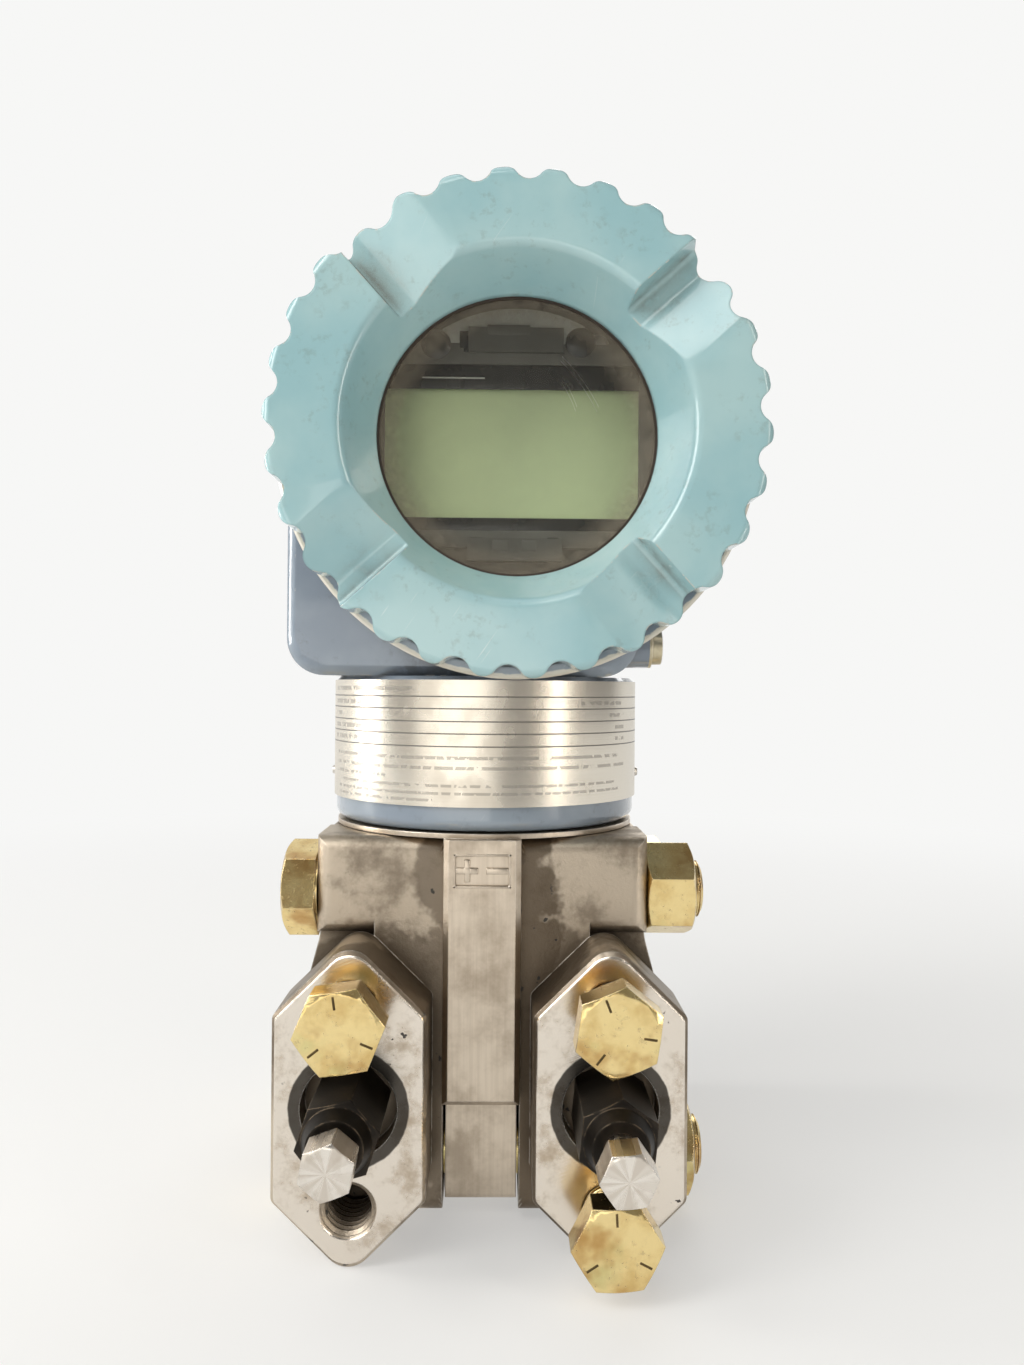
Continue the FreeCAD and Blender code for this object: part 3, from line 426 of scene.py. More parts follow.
@dataclass(frozen=True)
class BrushedSteel:
    """Machined or brushed steel whose marks run one way."""

    name: str
    colour: Colour
    shade: Colour
    grain: Point
    gloss: float = 0.28
    depth: float = 0.18

    def make(self) -> bpy.types.Material:
        """Build the material."""
        look = Shading(self.name)
        place = look.place()
        marks = look.noise(look.stretched(self.grain), 1.0, 3.0, 0.6)
        stains = look.span(look.noise(place, 70.0, 5.0, 0.65), 0.40, 0.70)
        # Painted shade: darkened deep in its corners, along with the stains.
        corners = look.hollows(4.0 * MM)
        dark = look.sum(Operation.MAXIMUM, look.sum(Operation.MULTIPLY, stains, 0.5), corners)
        metal = look.mix(dark, self.colour, self.shade)
        metal = look.mix(look.span(marks, 0.35, 0.7, 0.0, 0.16), metal, self.shade)
        rubbed = look.sum(Operation.MULTIPLY, look.edges(0.4 * MM), look.span(marks, 0.35, 0.6, 0.3, 1.0))
        metal = look.mix(look.sum(Operation.MULTIPLY, rubbed, 0.7), metal, (0.90, 0.86, 0.80))
        look.set(Base_Color=metal, Metallic=1.0,
                 Roughness=look.span(stains, 0.0, 1.0, self.gloss, self.gloss + 0.14),
                 Normal=look.bump(marks, self.depth, 0.12 * MM, look.soft_normal(0.4 * MM)))
        return look.material


@dataclass(frozen=True)
class ZincPlate:
    """Yellow passivated zinc, browned in patches."""

    name: str
    gold: Colour
    bronze: Colour
    green: Colour
    browned: Colour

    def make(self) -> bpy.types.Material:
        """Build the material."""
        look = Shading(self.name)
        place = look.place()
        tone = look.span(look.noise(place, 130.0, 4.0, 0.6), 0.40, 0.70)
        metal = look.mix(look.sum(Operation.MULTIPLY, tone, 0.6), self.gold, self.bronze)
        metal = look.mix(look.span(look.noise(place, 95.0, 2.0), 0.56, 0.72, 0.0, 0.45), metal, self.green)
        aged = look.span(look.noise(place, 55.0, 4.0, 0.65), 0.50, 0.66, 0.0, 0.7)
        metal = look.mix(aged, metal, self.browned)
        # Painted shade: dark brown deep in the corners.
        corners = look.hollows(3.0 * MM)
        metal = look.mix(look.sum(Operation.MULTIPLY, corners, 0.85), metal, (0.09, 0.06, 0.025))
        dull = look.span(look.noise(place, 700.0, 4.0, 0.7), 0.55, 0.75)
        metal = look.mix(look.sum(Operation.MULTIPLY, dull, 0.4), metal, (0.30, 0.24, 0.15))
        worn = look.sum(Operation.MULTIPLY, look.edges(0.35 * MM), look.span(look.noise(place, 500.0), 0.35, 0.55))
        metal = look.mix(look.sum(Operation.MULTIPLY, worn, 0.7), metal, (0.88, 0.80, 0.60))
        look.set(Base_Color=metal, Metallic=1.0, Roughness=look.span(dull, 0.0, 1.0, 0.22, 0.42),
                 Normal=look.bump(look.noise(place, 900.0, 3.0), 0.14, 0.1 * MM, look.soft_normal(0.35 * MM)))
        return look.material


@dataclass(frozen=True)
class BlackOxide:
    """Blackened steel, rubbed bright brown on its edges."""

    name: str
    colour: Colour
    rubbed: Colour
    gloss: float = 0.42

    def make(self) -> bpy.types.Material:
        """Build the material."""
        look = Shading(self.name)
        place = look.place()
        worn = look.sum(Operation.MULTIPLY, look.edges(0.5 * MM), look.span(look.noise(place, 420.0, 4.0), 0.42, 0.62))
        metal = look.mix(look.span(look.noise(place, 120.0, 4.0), 0.4, 0.7, 0.0, 0.15), self.colour, self.rubbed)
        metal = look.mix(worn, metal, self.rubbed)
        look.set(Base_Color=metal, Metallic=0.85, Roughness=self.gloss,
                 Normal=look.bump(look.noise(place, 1300.0, 3.0), 0.2, 0.1 * MM, look.soft_normal(0.5 * MM)))
        return look.material


@dataclass(frozen=True)
class TurnedSteel:
    """Bright steel faced on a lathe: rays and rings about an axis along Y."""

    name: str
    colour: Colour
    shade: Colour
    centre: tuple[float, float]

    def make(self) -> bpy.types.Material:
        """Build the material; centre is the X and Z of the axis, in metres."""
        look = Shading(self.name)
        x, _, z = look.axes()[:3]
        x = look.sum(Operation.SUBTRACT, x, self.centre[0])
        z = look.sum(Operation.SUBTRACT, z, self.centre[1])
        angle = look.sum(Operation.ANGLE, z, x)
        rays = look.node("ShaderNodeCombineXYZ", inputs={0: look.sum(Operation.MULTIPLY, angle, 1.0)})
        fans = look.span(look.noise(rays.outputs[0], 1.5, 1.0), 0.40, 0.60)
        stains = look.span(look.noise(look.place(), 260.0, 4.0), 0.5, 0.72)
        metal = look.mix(look.sum(Operation.MULTIPLY, fans, 0.55), self.colour, self.shade)
        metal = look.mix(look.sum(Operation.MULTIPLY, stains, 0.5), metal, self.shade)
        rubbed = look.edges(0.3 * MM)
        metal = look.mix(look.sum(Operation.MULTIPLY, rubbed, 0.7), metal, (0.92, 0.88, 0.82))
        fine = look.noise(look.stretched((900.0, 3000.0, 900.0)), 1.0, 3.0)
        look.set(Base_Color=metal, Metallic=1.0, Roughness=look.span(fans, 0.0, 1.0, 0.22, 0.34),
                 Normal=look.bump(fine, 0.12, 0.08 * MM, look.soft_normal(0.3 * MM)))
        return look.material


@dataclass(frozen=True)
class DataPlate:
    """Brushed sheet round the neck with thin dark rules and blank print fields."""

    name: str
    colour: Colour
    ink: Colour
    bottom: float
    top: float
    axis_y: float

    def make(self) -> bpy.types.Material:
        """Build the material; bottom, top and axis_y are in metres."""
        look = Shading(self.name)
        x, y, z = look.axes()[:3]
        back = look.sum(Operation.SUBTRACT, self.axis_y, y)
        angle = look.sum(Operation.ANGLE, x, back)
        wrapped = look.node("ShaderNodeCombineXYZ", inputs={
            0: look.sum(Operation.MULTIPLY, angle, 0.9), 2: look.sum(Operation.MULTIPLY, z, 5200.0)})
        marks = look.noise(wrapped.outputs[0], 1.0, 3.0, 0.6)
        stains = look.span(look.noise(look.place(), 75.0, 4.0), 0.5, 0.8)
        metal = look.mix(look.sum(Operation.MULTIPLY, stains, 0.3), self.colour, (0.45, 0.38, 0.29))
        metal = look.mix(look.span(marks, 0.3, 0.7, 0.0, 0.16), metal, (0.50, 0.44, 0.35))
        ink = self.rules(look, angle, z)
        metal = look.mix(look.sum(Operation.MULTIPLY, ink, 0.8), metal, self.ink)
        round_neck = look.node("ShaderNodeTangent", {"direction_type": "RADIAL", "axis": "Z"})
        look.set(Base_Color=metal, Metallic=look.span(ink, 0.0, 1.0, 1.0, 0.2),
                 Roughness=look.span(stains, 0.0, 1.0, 0.24, 0.36), Anisotropic=0.8,
                 Tangent=round_neck.outputs[0], Normal=look.bump(marks, 0.012, 0.05 * MM))
        return look.material

    def rules(self, look: Shading, angle: bpy.types.NodeSocket, z: bpy.types.NodeSocket) -> bpy.types.NodeSocket:
        """Mask of the printed rules and of the dashed bars between them.

        Args:
            look: The material being written.
            angle: Angle round the neck, 0 at the front.
            z: Height.

        Returns:
            The mask.
        """
        height = self.top - self.bottom
        up = look.sum(Operation.DIVIDE, look.sum(Operation.SUBTRACT, z, self.bottom), height)
        total = None
        for level in (0.868, 0.772, 0.672, 0.575, 0.475):
            off = look.sum(Operation.ABSOLUTE, look.sum(Operation.SUBTRACT, up, level))
            line = look.span(off, 0.0062, 0.0040)
            total = line if total is None else look.sum(Operation.MAXIMUM, total, line)
        bars = ((0.93, -1.25, -0.42, 0.6), (0.82, -1.25, -0.85, 0.6), (0.72, -1.25, -1.12, 0.6),
                (0.62, -1.25, -0.72, 0.6), (0.525, -1.25, -0.80, 0.6), (0.82, 0.62, 1.02, 0.5),
                (0.72, 0.86, 1.06, 0.5), (0.62, 0.94, 1.06, 0.5), (0.525, 0.94, 1.06, 0.5),
                (0.385, -1.20, 0.98, 0.42), (0.305, -1.20, 1.06, 0.42), (0.235, -1.20, -0.62, 0.42),
                (0.165, -1.12, 0.95, 0.34), (0.105, -1.16, 0.98, 0.34), (0.050, -1.16, -0.30, 0.34))
        dashes = look.noise(look.node("ShaderNodeCombineXYZ", inputs={
            0: look.sum(Operation.MULTIPLY, angle, 26.0), 2: look.sum(Operation.MULTIPLY, up, 9.0)}).outputs[0], 1.0, 1.0)
        gaps = look.span(dashes, 0.40, 0.46)
        for level, start, end, thick in bars:
            off = look.sum(Operation.ABSOLUTE, look.sum(Operation.SUBTRACT, up, level))
            tall = look.span(off, 0.026 * thick + 0.004, 0.026 * thick)
            middle = (start + end) / 2.0
            wide = look.sum(Operation.ABSOLUTE, look.sum(Operation.SUBTRACT, angle, middle))
            within = look.sum(Operation.LESS, wide, (end - start) / 2.0)
            bar = look.sum(Operation.MULTIPLY, look.sum(Operation.MULTIPLY, tall, within), gaps)
            total = look.sum(Operation.MAXIMUM, total, look.sum(Operation.MULTIPLY, bar, 0.45))
        return total


@dataclass(frozen=True)
class Moulding:
    """Dull moulded plastic with a fine spark-eroded texture."""

    name: str
    colour: Colour
    roughness: float = 0.5
    texture: float = 0.2

    def make(self) -> bpy.types.Material:
        """Build the material."""
        look = Shading(self.name)
        place = look.place()
        tone = tuple(min(1.0, part * 1.5 + 0.01) for part in self.colour)
        colour = look.mix(look.span(look.noise(place, 110.0, 3.0), 0.4, 0.7, 0.0, 0.35), self.colour, tone)
        look.set(Base_Color=colour, Roughness=self.roughness,
                 Normal=look.bump(look.noise(place, 2600.0, 2.0), self.texture, 0.06 * MM))
        return look.material


@dataclass(frozen=True)
class LiquidCrystal:
    """Blank green liquid crystal panel, with a painted shadow of the window's wall along its left edge, and darker
    towards its right edge.
    """

    name: str
    colour: Colour
    shade: Colour
    left: float
    right: float

    def make(self) -> bpy.types.Material:
        """Build the material; left and right are the panel's edges, in metres."""
        look = Shading(self.name)
        x, _, z = look.axes()[:3]
        width = self.right - self.left
        # Painted shadow along the left edge; the right side is darkened too.
        left = look.span(x, self.left + 0.04 * width, self.left + 0.20 * width, 0.45, 0.0)
        right = look.span(x, self.right - 0.35 * width, self.right, 0.0, 0.22)
        shade = look.sum(Operation.MAXIMUM, left, right)
        cloud = look.span(look.noise(look.place(), 60.0, 2.0), 0.3, 0.8, 0.0, 0.12)
        colour = look.mix(look.sum(Operation.ADD, shade, cloud), self.colour, self.shade)
        look.set(Base_Color=colour, Roughness=0.32,
                 Normal=look.bump(look.noise(look.place(), 900.0, 1.0), 0.02, 0.02 * MM))
        return look.material


@dataclass(frozen=True)
class WindowGlass:
    """Clear thick glass with a film of dust and two hair-thin scratches."""

    name: str
    scratches: tuple[tuple[float, float, float], ...]
    middle: tuple[float, float] = (6.75 * MM, 139.5 * MM)
    scratched: tuple[float, float] = (16.0 * MM, 146.0 * MM)
    dust: Colour = (0.34, 0.29, 0.22)

    def make(self) -> bpy.types.Material:
        """Build the material; each scratch is the X, Z and radius of its arc, in metres."""
        look = Shading(self.name)
        x, _, z = look.axes()[:3]
        total = look.span(look.noise(look.place(), 300.0, 4.0), 0.66, 0.9, 0.0, 0.10)
        corner = look.sum(Operation.MULTIPLY, look.sum(Operation.MORE, x, self.scratched[0]),
                          look.sum(Operation.MORE, z, self.scratched[1]))
        for across, up, radius in self.scratches:
            spot = look.node("ShaderNodeCombineXYZ", inputs={0: look.sum(Operation.SUBTRACT, x, across),
                                                            2: look.sum(Operation.SUBTRACT, z, up)})
            length = look.node("ShaderNodeVectorMath", {"operation": "LENGTH"}, {0: spot.outputs[0]})
            off = look.sum(Operation.ABSOLUTE, look.sum(Operation.SUBTRACT, length.outputs["Value"], radius))
            line = look.sum(Operation.MULTIPLY, look.span(off, 0.07 * MM, 0.02 * MM, 0.0, 0.6), corner)
            total = look.sum(Operation.MAXIMUM, total, line)
        look.set(Base_Color=(0.97, 0.985, 0.975), Roughness=total, Transmission_Weight=1.0, IOR=1.46)
        clear = look.node("ShaderNodeBsdfTransparent", inputs={"Color": (0.92, 0.94, 0.93)})
        path = look.node("ShaderNodeLightPath")
        spot = look.node("ShaderNodeCombineXYZ", inputs={0: look.sum(Operation.SUBTRACT, x, self.middle[0]),
                                                        2: look.sum(Operation.SUBTRACT, z, self.middle[1])})
        length = look.node("ShaderNodeVectorMath", {"operation": "LENGTH"}, {0: spot.outputs[0]})
        settled = look.span(length.outputs["Value"], 22.0 * MM, 29.5 * MM, 0.025, 0.34)
        settled = look.sum(Operation.MULTIPLY, settled, look.span(look.noise(look.place(), 500.0, 4.0, 0.7), 0.3, 0.6, 0.4, 1.0))
        film = look.node("ShaderNodeBsdfDiffuse", inputs={"Color": self.dust})
        dusty = look.node("ShaderNodeMixShader", inputs={0: settled, 1: look.surface.outputs[0], 2: film.outputs[0]})
        both = look.node("ShaderNodeMixShader", inputs={
            0: path.outputs["Is Shadow Ray"], 1: dusty.outputs[0], 2: clear.outputs[0]})
        look.tree.links.new(both.outputs[0], look.output.inputs["Surface"])
        return look.material


# ---- mesh work --------------------------------------------------------------------------------
def to_object(name: str, mesh: bmesh.types.BMesh, crease: float = 32.0) -> bpy.types.Object:
    """Close a bmesh into an object at the origin, smooth up to a crease angle.

    Args:
        name: Name of the piece.
        mesh: Its geometry, which is freed.
        crease: Angle in degrees past which an edge stays sharp.

    Returns:
        The new object.
    """
    for face in mesh.faces:
        face.smooth = True
    for edge in mesh.edges:
        edge.smooth = edge.calc_face_angle(math.pi) < math.radians(crease)
    data = bpy.data.meshes.new(name)
    mesh.to_mesh(data)
    mesh.free()
    made = bpy.data.objects.new(name, data)
    bpy.context.scene.collection.objects.link(made)
    return made


def smooth_copy(node: str, crease: float = 32.0) -> bpy.types.Object:
    """Copy a solid's mesh, join its loose triangles and shade it smooth.

    Args:
        node: Name of the CAD node.
        crease: Angle in degrees past which an edge stays sharp.

    Returns:
        The copy, with weighted normals so that flat faces stay flat.
    """
    mesh = bmesh.new()
    mesh.from_mesh(frame["nodes"][node].data)
    bmesh.ops.remove_doubles(mesh, verts=mesh.verts, dist=0.002 * MM)
    made = to_object(f"{node}_shell", mesh, crease)
    weighted = made.modifiers.new("flat faces", "WEIGHTED_NORMAL")
    weighted.keep_sharp = True
    return made


def rounded_block(mesh: bmesh.types.BMesh, low: Point, high: Point, rounding: float, turn: Matrix | None = None) -> None:
    """Add a block with rounded edges to a bmesh.

    Args:
        mesh: Mesh to add to.
        low: Lowest corner, in millimetres.
        high: Highest corner, in millimetres.
        rounding: Width of the rounding, in millimetres.
        turn: Transform applied last, in millimetres.
    """
    part = bmesh.new()
    bmesh.ops.create_cube(part, size=1.0)
    size = Vector(high) - Vector(low)
    bmesh.ops.scale(part, vec=size, verts=part.verts)
    bmesh.ops.translate(part, vec=(Vector(high) + Vector(low)) / 2.0, verts=part.verts)
    bmesh.ops.bevel(part, geom=part.edges[:], offset=rounding, segments=3, profile=0.5, affect="EDGES", material=-1)
    if turn is not None:
        bmesh.ops.transform(part, matrix=turn, verts=part.verts)
    bmesh.ops.scale(part, vec=(MM, MM, MM), verts=part.verts)
    store = bpy.data.meshes.new("part")
    part.to_mesh(store)
    part.free()
    mesh.from_mesh(store)
    bpy.data.meshes.remove(store)


def turned(profile: list[tuple[float, float]], start: Point, along: Point, closed: bool = True,
           steps: int = 96) -> bmesh.types.BMesh:
    """Turn a profile about an axis.

    Args:
        profile: Distances along the axis and from it, in millimetres.
        start: Point on the axis where the first distance is counted from, in millimetres.
        along: Direction of the axis.
        closed: Whether the last point joins the first, for a ring.
        steps: Faces round the axis.

    Returns:
        The turned mesh, in metres.
    """
    mesh = bmesh.new()
    axis = Vector(along).normalized()
    side = axis.orthogonal().normalized()
    points = [mesh.verts.new(Vector(start) + axis * far + side * out) for far, out in profile]
    pairs = list(zip(points, points[1:]))
    if closed:
        pairs.append((points[-1], points[0]))
    edges = [mesh.edges.new(pair) for pair in pairs]
    bmesh.ops.spin(mesh, geom=points + edges, cent=start, axis=axis, angle=math.tau, steps=steps, use_merge=True)
    bmesh.ops.remove_doubles(mesh, verts=mesh.verts, dist=1e-5)
    bmesh.ops.recalc_face_normals(mesh, faces=mesh.faces)
    bmesh.ops.scale(mesh, vec=(MM, MM, MM), verts=mesh.verts)
    return mesh


def thread_profile(length: float, radius: float, depth: float, pitch: float, back: float) -> list[tuple[float, float]]:
    """Saw-tooth outline of a thread.

    Args:
        length: Threaded length, in millimetres.
        radius: Crest radius.
        depth: Crest to root; negative for a thread inside a hole.
        pitch: Length of one turn.
        back: Radius of the ring's plain side, hidden in the solid.

    Returns:
        Closed profile of distances along the axis and from it.
    """
    count = int(length / pitch)
    profile = [(0.0, back)]
    for turn in range(count):
        profile.append((turn * pitch, radius - depth))
        profile.append(((turn + 0.42) * pitch, radius))
        profile.append(((turn + 0.58) * pitch, radius))
    profile.append((count * pitch, radius - depth))
    profile.append((count * pitch, back))
    return profile


def dress(piece: bpy.types.Object, material: bpy.types.Material, body: Body,
          replaces: tuple[str, ...] = ()) -> bpy.types.Object:
    """Give a piece its material and its body, hide the solids it stands for, and report it.

    Args:
        piece: The piece.
        material: Its finish.
        body: The rigid body that carries it.
        replaces: CAD nodes that it stands for.

    Returns:
        The same piece.
    """
    piece.data.materials.clear()
    piece.data.materials.append(material)
    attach(piece, body.value)
    if replaces:
        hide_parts(*replaces)
    LOG.info("%s rides on %s", piece.name, body.value)
    return piece


def dress_copy(node: str, material: bpy.types.Material, body: Body, crease: float = 32.0) -> bpy.types.Object:
    """Smooth copy of a solid, dressed, that stands for it."""
    return dress(smooth_copy(node, crease), material, body, (node,))


# ---- sub-assemblies ---------------------------------------------------------------------------
@dataclass
class ProcessEnd:
    """Sensor core between two process covers, with the signs on its column."""

    front: float = -88.5
    sign_z: float = 47.1
    sign_x: float = 3.3
    sign_arm: float = 2.4
    sign_thick: float = 0.65
    frame: tuple[float, float, float, float] = (-6.3, 6.3, 43.4, 50.8)
    pad_faces: tuple[float, float] = (-100.0 * MM, 0.0)
    ports: tuple[float, float] = (-27.0 * MM, 27.0 * MM)
    hole: Point = (-27.0, -99.3, -20.65)

    def build(self) -> None:
        """Build and dress the whole sub-assembly."""
        core = BrushedSteel("machined core steel", (0.66, 0.57, 0.46), (0.26, 0.20, 0.14), (1100.0, 1100.0, 35.0),
                            0.30, 0.12).make()
        cast = CastSteel("cast cover steel", (0.56, 0.48, 0.38), (0.13, 0.10, 0.07), (0.80, 0.73, 0.64),
                         (0.50, 0.41, 0.31), self.pad_faces, self.ports).make()
        dress_copy("sensor_core", core, Body.SENSOR)
        dress_copy("process_cover_high", cast, Body.SENSOR)
        dress_copy("process_cover_low", cast, Body.SENSOR)
        rubber = Moulding("black elastomer", (0.02, 0.02, 0.02), 0.6).make()
        sheet = TurnedSteel("pressed diaphragm", (0.75, 0.73, 0.70), (0.4, 0.38, 0.35), (0.0, 10.7 * MM)).make()
        for side in ("high", "low"):
            dress_copy(f"process_gasket_{side}", rubber, Body.SENSOR)
            dress_copy(f"diaphragm_{side}", sheet, Body.SENSOR)
        dress(self.signs(), core, Body.SENSOR)
        dress(self.tapped_thread(), cast, Body.SENSOR)

    def signs(self) -> bpy.types.Object:
        """Raised plus and minus signs in the sunk panel of the column."""
        mesh = bmesh.new()
        floor = self.front + 0.7
        top = self.front - 0.10
        thick = self.sign_thick
        for centre, upright in ((-self.sign_x, True), (self.sign_x, False)):
            rounded_block(mesh, (centre - self.sign_arm, top, self.sign_z - thick),
                          (centre + self.sign_arm, floor, self.sign_z + thick), 0.12)
            if upright:
                rounded_block(mesh, (centre - thick, top - 0.04, self.sign_z - self.sign_arm),
                              (centre + thick, floor, self.sign_z + self.sign_arm), 0.12)
        left, right, low, high = self.frame
        for corner, far_corner in (((left, low), (left + 0.5, high)), ((right - 0.5, low), (right, high)),
                                   ((left, low), (right, low + 0.5)), ((left, high - 0.5), (right, high))):
            rounded_block(mesh, (corner[0], top, corner[1]), (far_corner[0], floor, far_corner[1]), 0.12)
        return to_object("side_signs", mesh)

    def tapped_thread(self) -> bpy.types.Object:
        """Thread inside the open flange hole."""
        mesh = turned(thread_profile(15.8, 4.8, -0.78, 1.81, 5.8), self.hole, (0, 1, 0), steps=64)
        return to_object("flange_hole_thread", mesh)


@dataclass
class Fasteners:
    """Through-bolts and nuts of the process covers and the three flange screws."""

    grade_marks: int = 3
    screws: tuple[tuple[float, float, float], ...] = ((-27.0, 20.65, 98.0), (27.0, 20.65, 112.0), (27.0, -20.65, 93.0))
    head_face: float = -115.3
    head_seat: float = -107.8
    bolt_ends: tuple[tuple[float, float], ...] = ((-72.0, 40.5), (-72.0, -19.1), (-28.0, 35.5), (-28.0, -19.1))

    def build(self) -> None:
        """Build and dress the whole sub-assembly."""
        zinc = ZincPlate("yellow zinc plate", (0.88, 0.70, 0.34), (0.62, 0.40, 0.13), (0.60, 0.60, 0.28),
                         (0.46, 0.24, 0.07)).make()
        dress_copy("cover_bolts", zinc, Body.SENSOR, 28.0)
        dress_copy("cover_nuts", zinc, Body.SENSOR, 28.0)
        dress_copy("flange_screws", zinc, Body.SENSOR, 28.0)
        stamped = BlackOxide("stamped mark", (0.10, 0.07, 0.03), (0.40, 0.28, 0.12), 0.6).make()
        dress(self.head_marks(), stamped, Body.SENSOR)
        dress(self.screw_threads(), zinc, Body.SENSOR)
        dress(self.bolt_threads(), zinc, Body.SENSOR)

    def head_marks(self) -> bpy.types.Object:
        """Three raised radial grade marks on each flange screw head."""
        mesh = bmesh.new()
        for x, z, turn in self.screws:
            for index in range(self.grade_marks):
                angle = math.radians(turn + 360.0 / self.grade_marks * index)
                move = Matrix.Translation((x, 0, z)) @ Matrix.Rotation(-angle, 4, "Y")
                rounded_block(mesh, (4.6, self.head_face - 0.03, -0.28), (7.3, self.head_face + 0.5, 0.28), 0.1, move)
        return to_object("screw_grade_marks", mesh)

    def screw_threads(self) -> bpy.types.Object:
        """Threads on the bare shanks between the flange screw heads and the pads."""
        whole = bmesh.new()
        store = bpy.data.meshes.new("part")
        for x, z, _ in self.screws:
            mesh = turned(thread_profile(7.8, 5.45, 0.7, 1.27, 4.2), (x, self.head_seat, z), (0, 1, 0), steps=48)
            mesh.to_mesh(store)
            mesh.free()
            whole.from_mesh(store)
        bpy.data.meshes.remove(store)
        return to_object("flange_screw_threads", whole)

    def bolt_threads(self) -> bpy.types.Object:
        """Threads on the through-bolt ends that stand past the nuts."""
        whole = bmesh.new()
        store = bpy.data.meshes.new("part")
        for y, z in self.bolt_ends:
            mesh = turned(thread_profile(1.8, 6.5, 0.5, 0.6, 5.5), (48.2, y, z), (1, 0, 0), steps=48)
            mesh.to_mesh(store)
            mesh.free()
            whole.from_mesh(store)
        bpy.data.meshes.remove(store)
        return to_object("bolt_end_threads", whole)


@dataclass
class Vents:
    """Two vent valves in the front ports, each a black body and a bright screw."""

    port_x: float = 27.0
    screw_radius: float = 3.2
    stands: tuple[tuple[str, float, float], ...] = (("high", -1.0, 28.0), ("low", 1.0, 31.0))
    bright: Colour = (0.82, 0.77, 0.70)
    shade: Colour = (0.54, 0.47, 0.39)
    head: float = 7.2
    body_end: float = -118.5

    def build(self) -> None:
        """Build and dress both vents."""
        oxide = BlackOxide("black oxide", (0.018, 0.015, 0.012), (0.16, 0.12, 0.08)).make()
        for name, side, stand in self.stands:
            body = Body.HIGH_VENT if name == "high" else Body.LOW_VENT
            steel = TurnedSteel(f"faced steel {name}", self.bright, self.shade, (side * self.port_x * MM, 0.0)).make()
            dress_copy(f"vent_body_{name}", oxide, Body.SENSOR, 28.0)
            dress_copy(f"vent_screw_{name}", steel, body, 28.0)
            start = -100.0 - stand + self.head
            mesh = turned(thread_profile(self.body_end - start - 0.2, self.screw_radius + 0.02, 0.28, 0.9, 2.4),
                          (side * self.port_x, start, 0.0), (0, 1, 0), steps=40)
            dress(to_object(f"vent_thread_{name}", mesh), steel, body)


@dataclass
class Topworks:
    """Housing casting on its neck, with the data plate, plug, ground screw and display."""

    neck_y: float = -50.0
    barrel: tuple[float, float] = (6.75, 139.5)
    panel: tuple[float, float] = (-22.5, 34.0)

    def build(self) -> None:
        """Build and dress the whole sub-assembly."""
        # The housing flange rim is painted bright: partly bare metal, partly a painted highlight.
        paint = Enamel("grey blue enamel", (0.20, 0.245, 0.30), (0.26, 0.31, 0.36), (0.66, 0.62, 0.53),
                       (0.07, 0.065, 0.06), 0.20, 0.60, 0.6,
                       bare_and_highlight_rim=(self.barrel[0] * MM, self.barrel[1] * MM, 50.2 * MM, -97.2 * MM)).make()
        dress_copy("housing_casting", paint, Body.HOUSING)
        plate_low, plate_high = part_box("data_plate")
        plate = DataPlate("brushed data plate", (0.74, 0.69, 0.60), (0.03, 0.028, 0.025), plate_low.z, plate_high.z,
                          self.neck_y * MM).make()
        dress_copy("data_plate", plate, Body.HOUSING)
        bright = BrushedSteel("turned bright steel", (0.78, 0.75, 0.70), (0.4, 0.36, 0.3), (900.0, 900.0, 900.0)).make()
        brass = BrushedSteel("turned brass", (0.74, 0.68, 0.50), (0.35, 0.28, 0.16), (900.0, 900.0, 900.0)).make()
        iron = BlackOxide("plain iron plug", (0.05, 0.048, 0.045), (0.22, 0.19, 0.15)).make()
        dress_copy("plate_screws", bright, Body.HOUSING)
        dress_copy("ground_screw", brass, Body.HOUSING)
        dress_copy("conduit_plug", iron, Body.HOUSING)
        dress_copy("housing_set_screw", iron, Body.HOUSING)
        self.build_display(bright)

    def build_display(self, bright: bpy.types.Material) -> None:
        """Dress the display and the parts behind it.

        Args:
            bright: Finish of the small screws.
        """
        bezel = Moulding("dark grey bezel", (0.085, 0.082, 0.066), 0.55).make()
        dress_copy("display_bezel", bezel, Body.HOUSING)
        left, right = self.panel
        panel = LiquidCrystal("green panel", (0.60, 0.70, 0.39), (0.26, 0.31, 0.18), left * MM, right * MM).make()
        dress_copy("display_panel", panel, Body.HOUSING)
        dress_copy("display_board", Moulding("board lacquer", (0.02, 0.09, 0.05), 0.4).make(), Body.HOUSING)
        dress_copy("display_screws", bright, Body.HOUSING)
        dress_copy("electronics_module", Moulding("potting compound", (0.02, 0.02, 0.02), 0.4).make(), Body.HOUSING)
        dress_copy("terminal_block", Moulding("black moulding", (0.03, 0.03, 0.03), 0.45).make(), Body.HOUSING)
        dress_copy("terminal_screws", bright, Body.HOUSING)


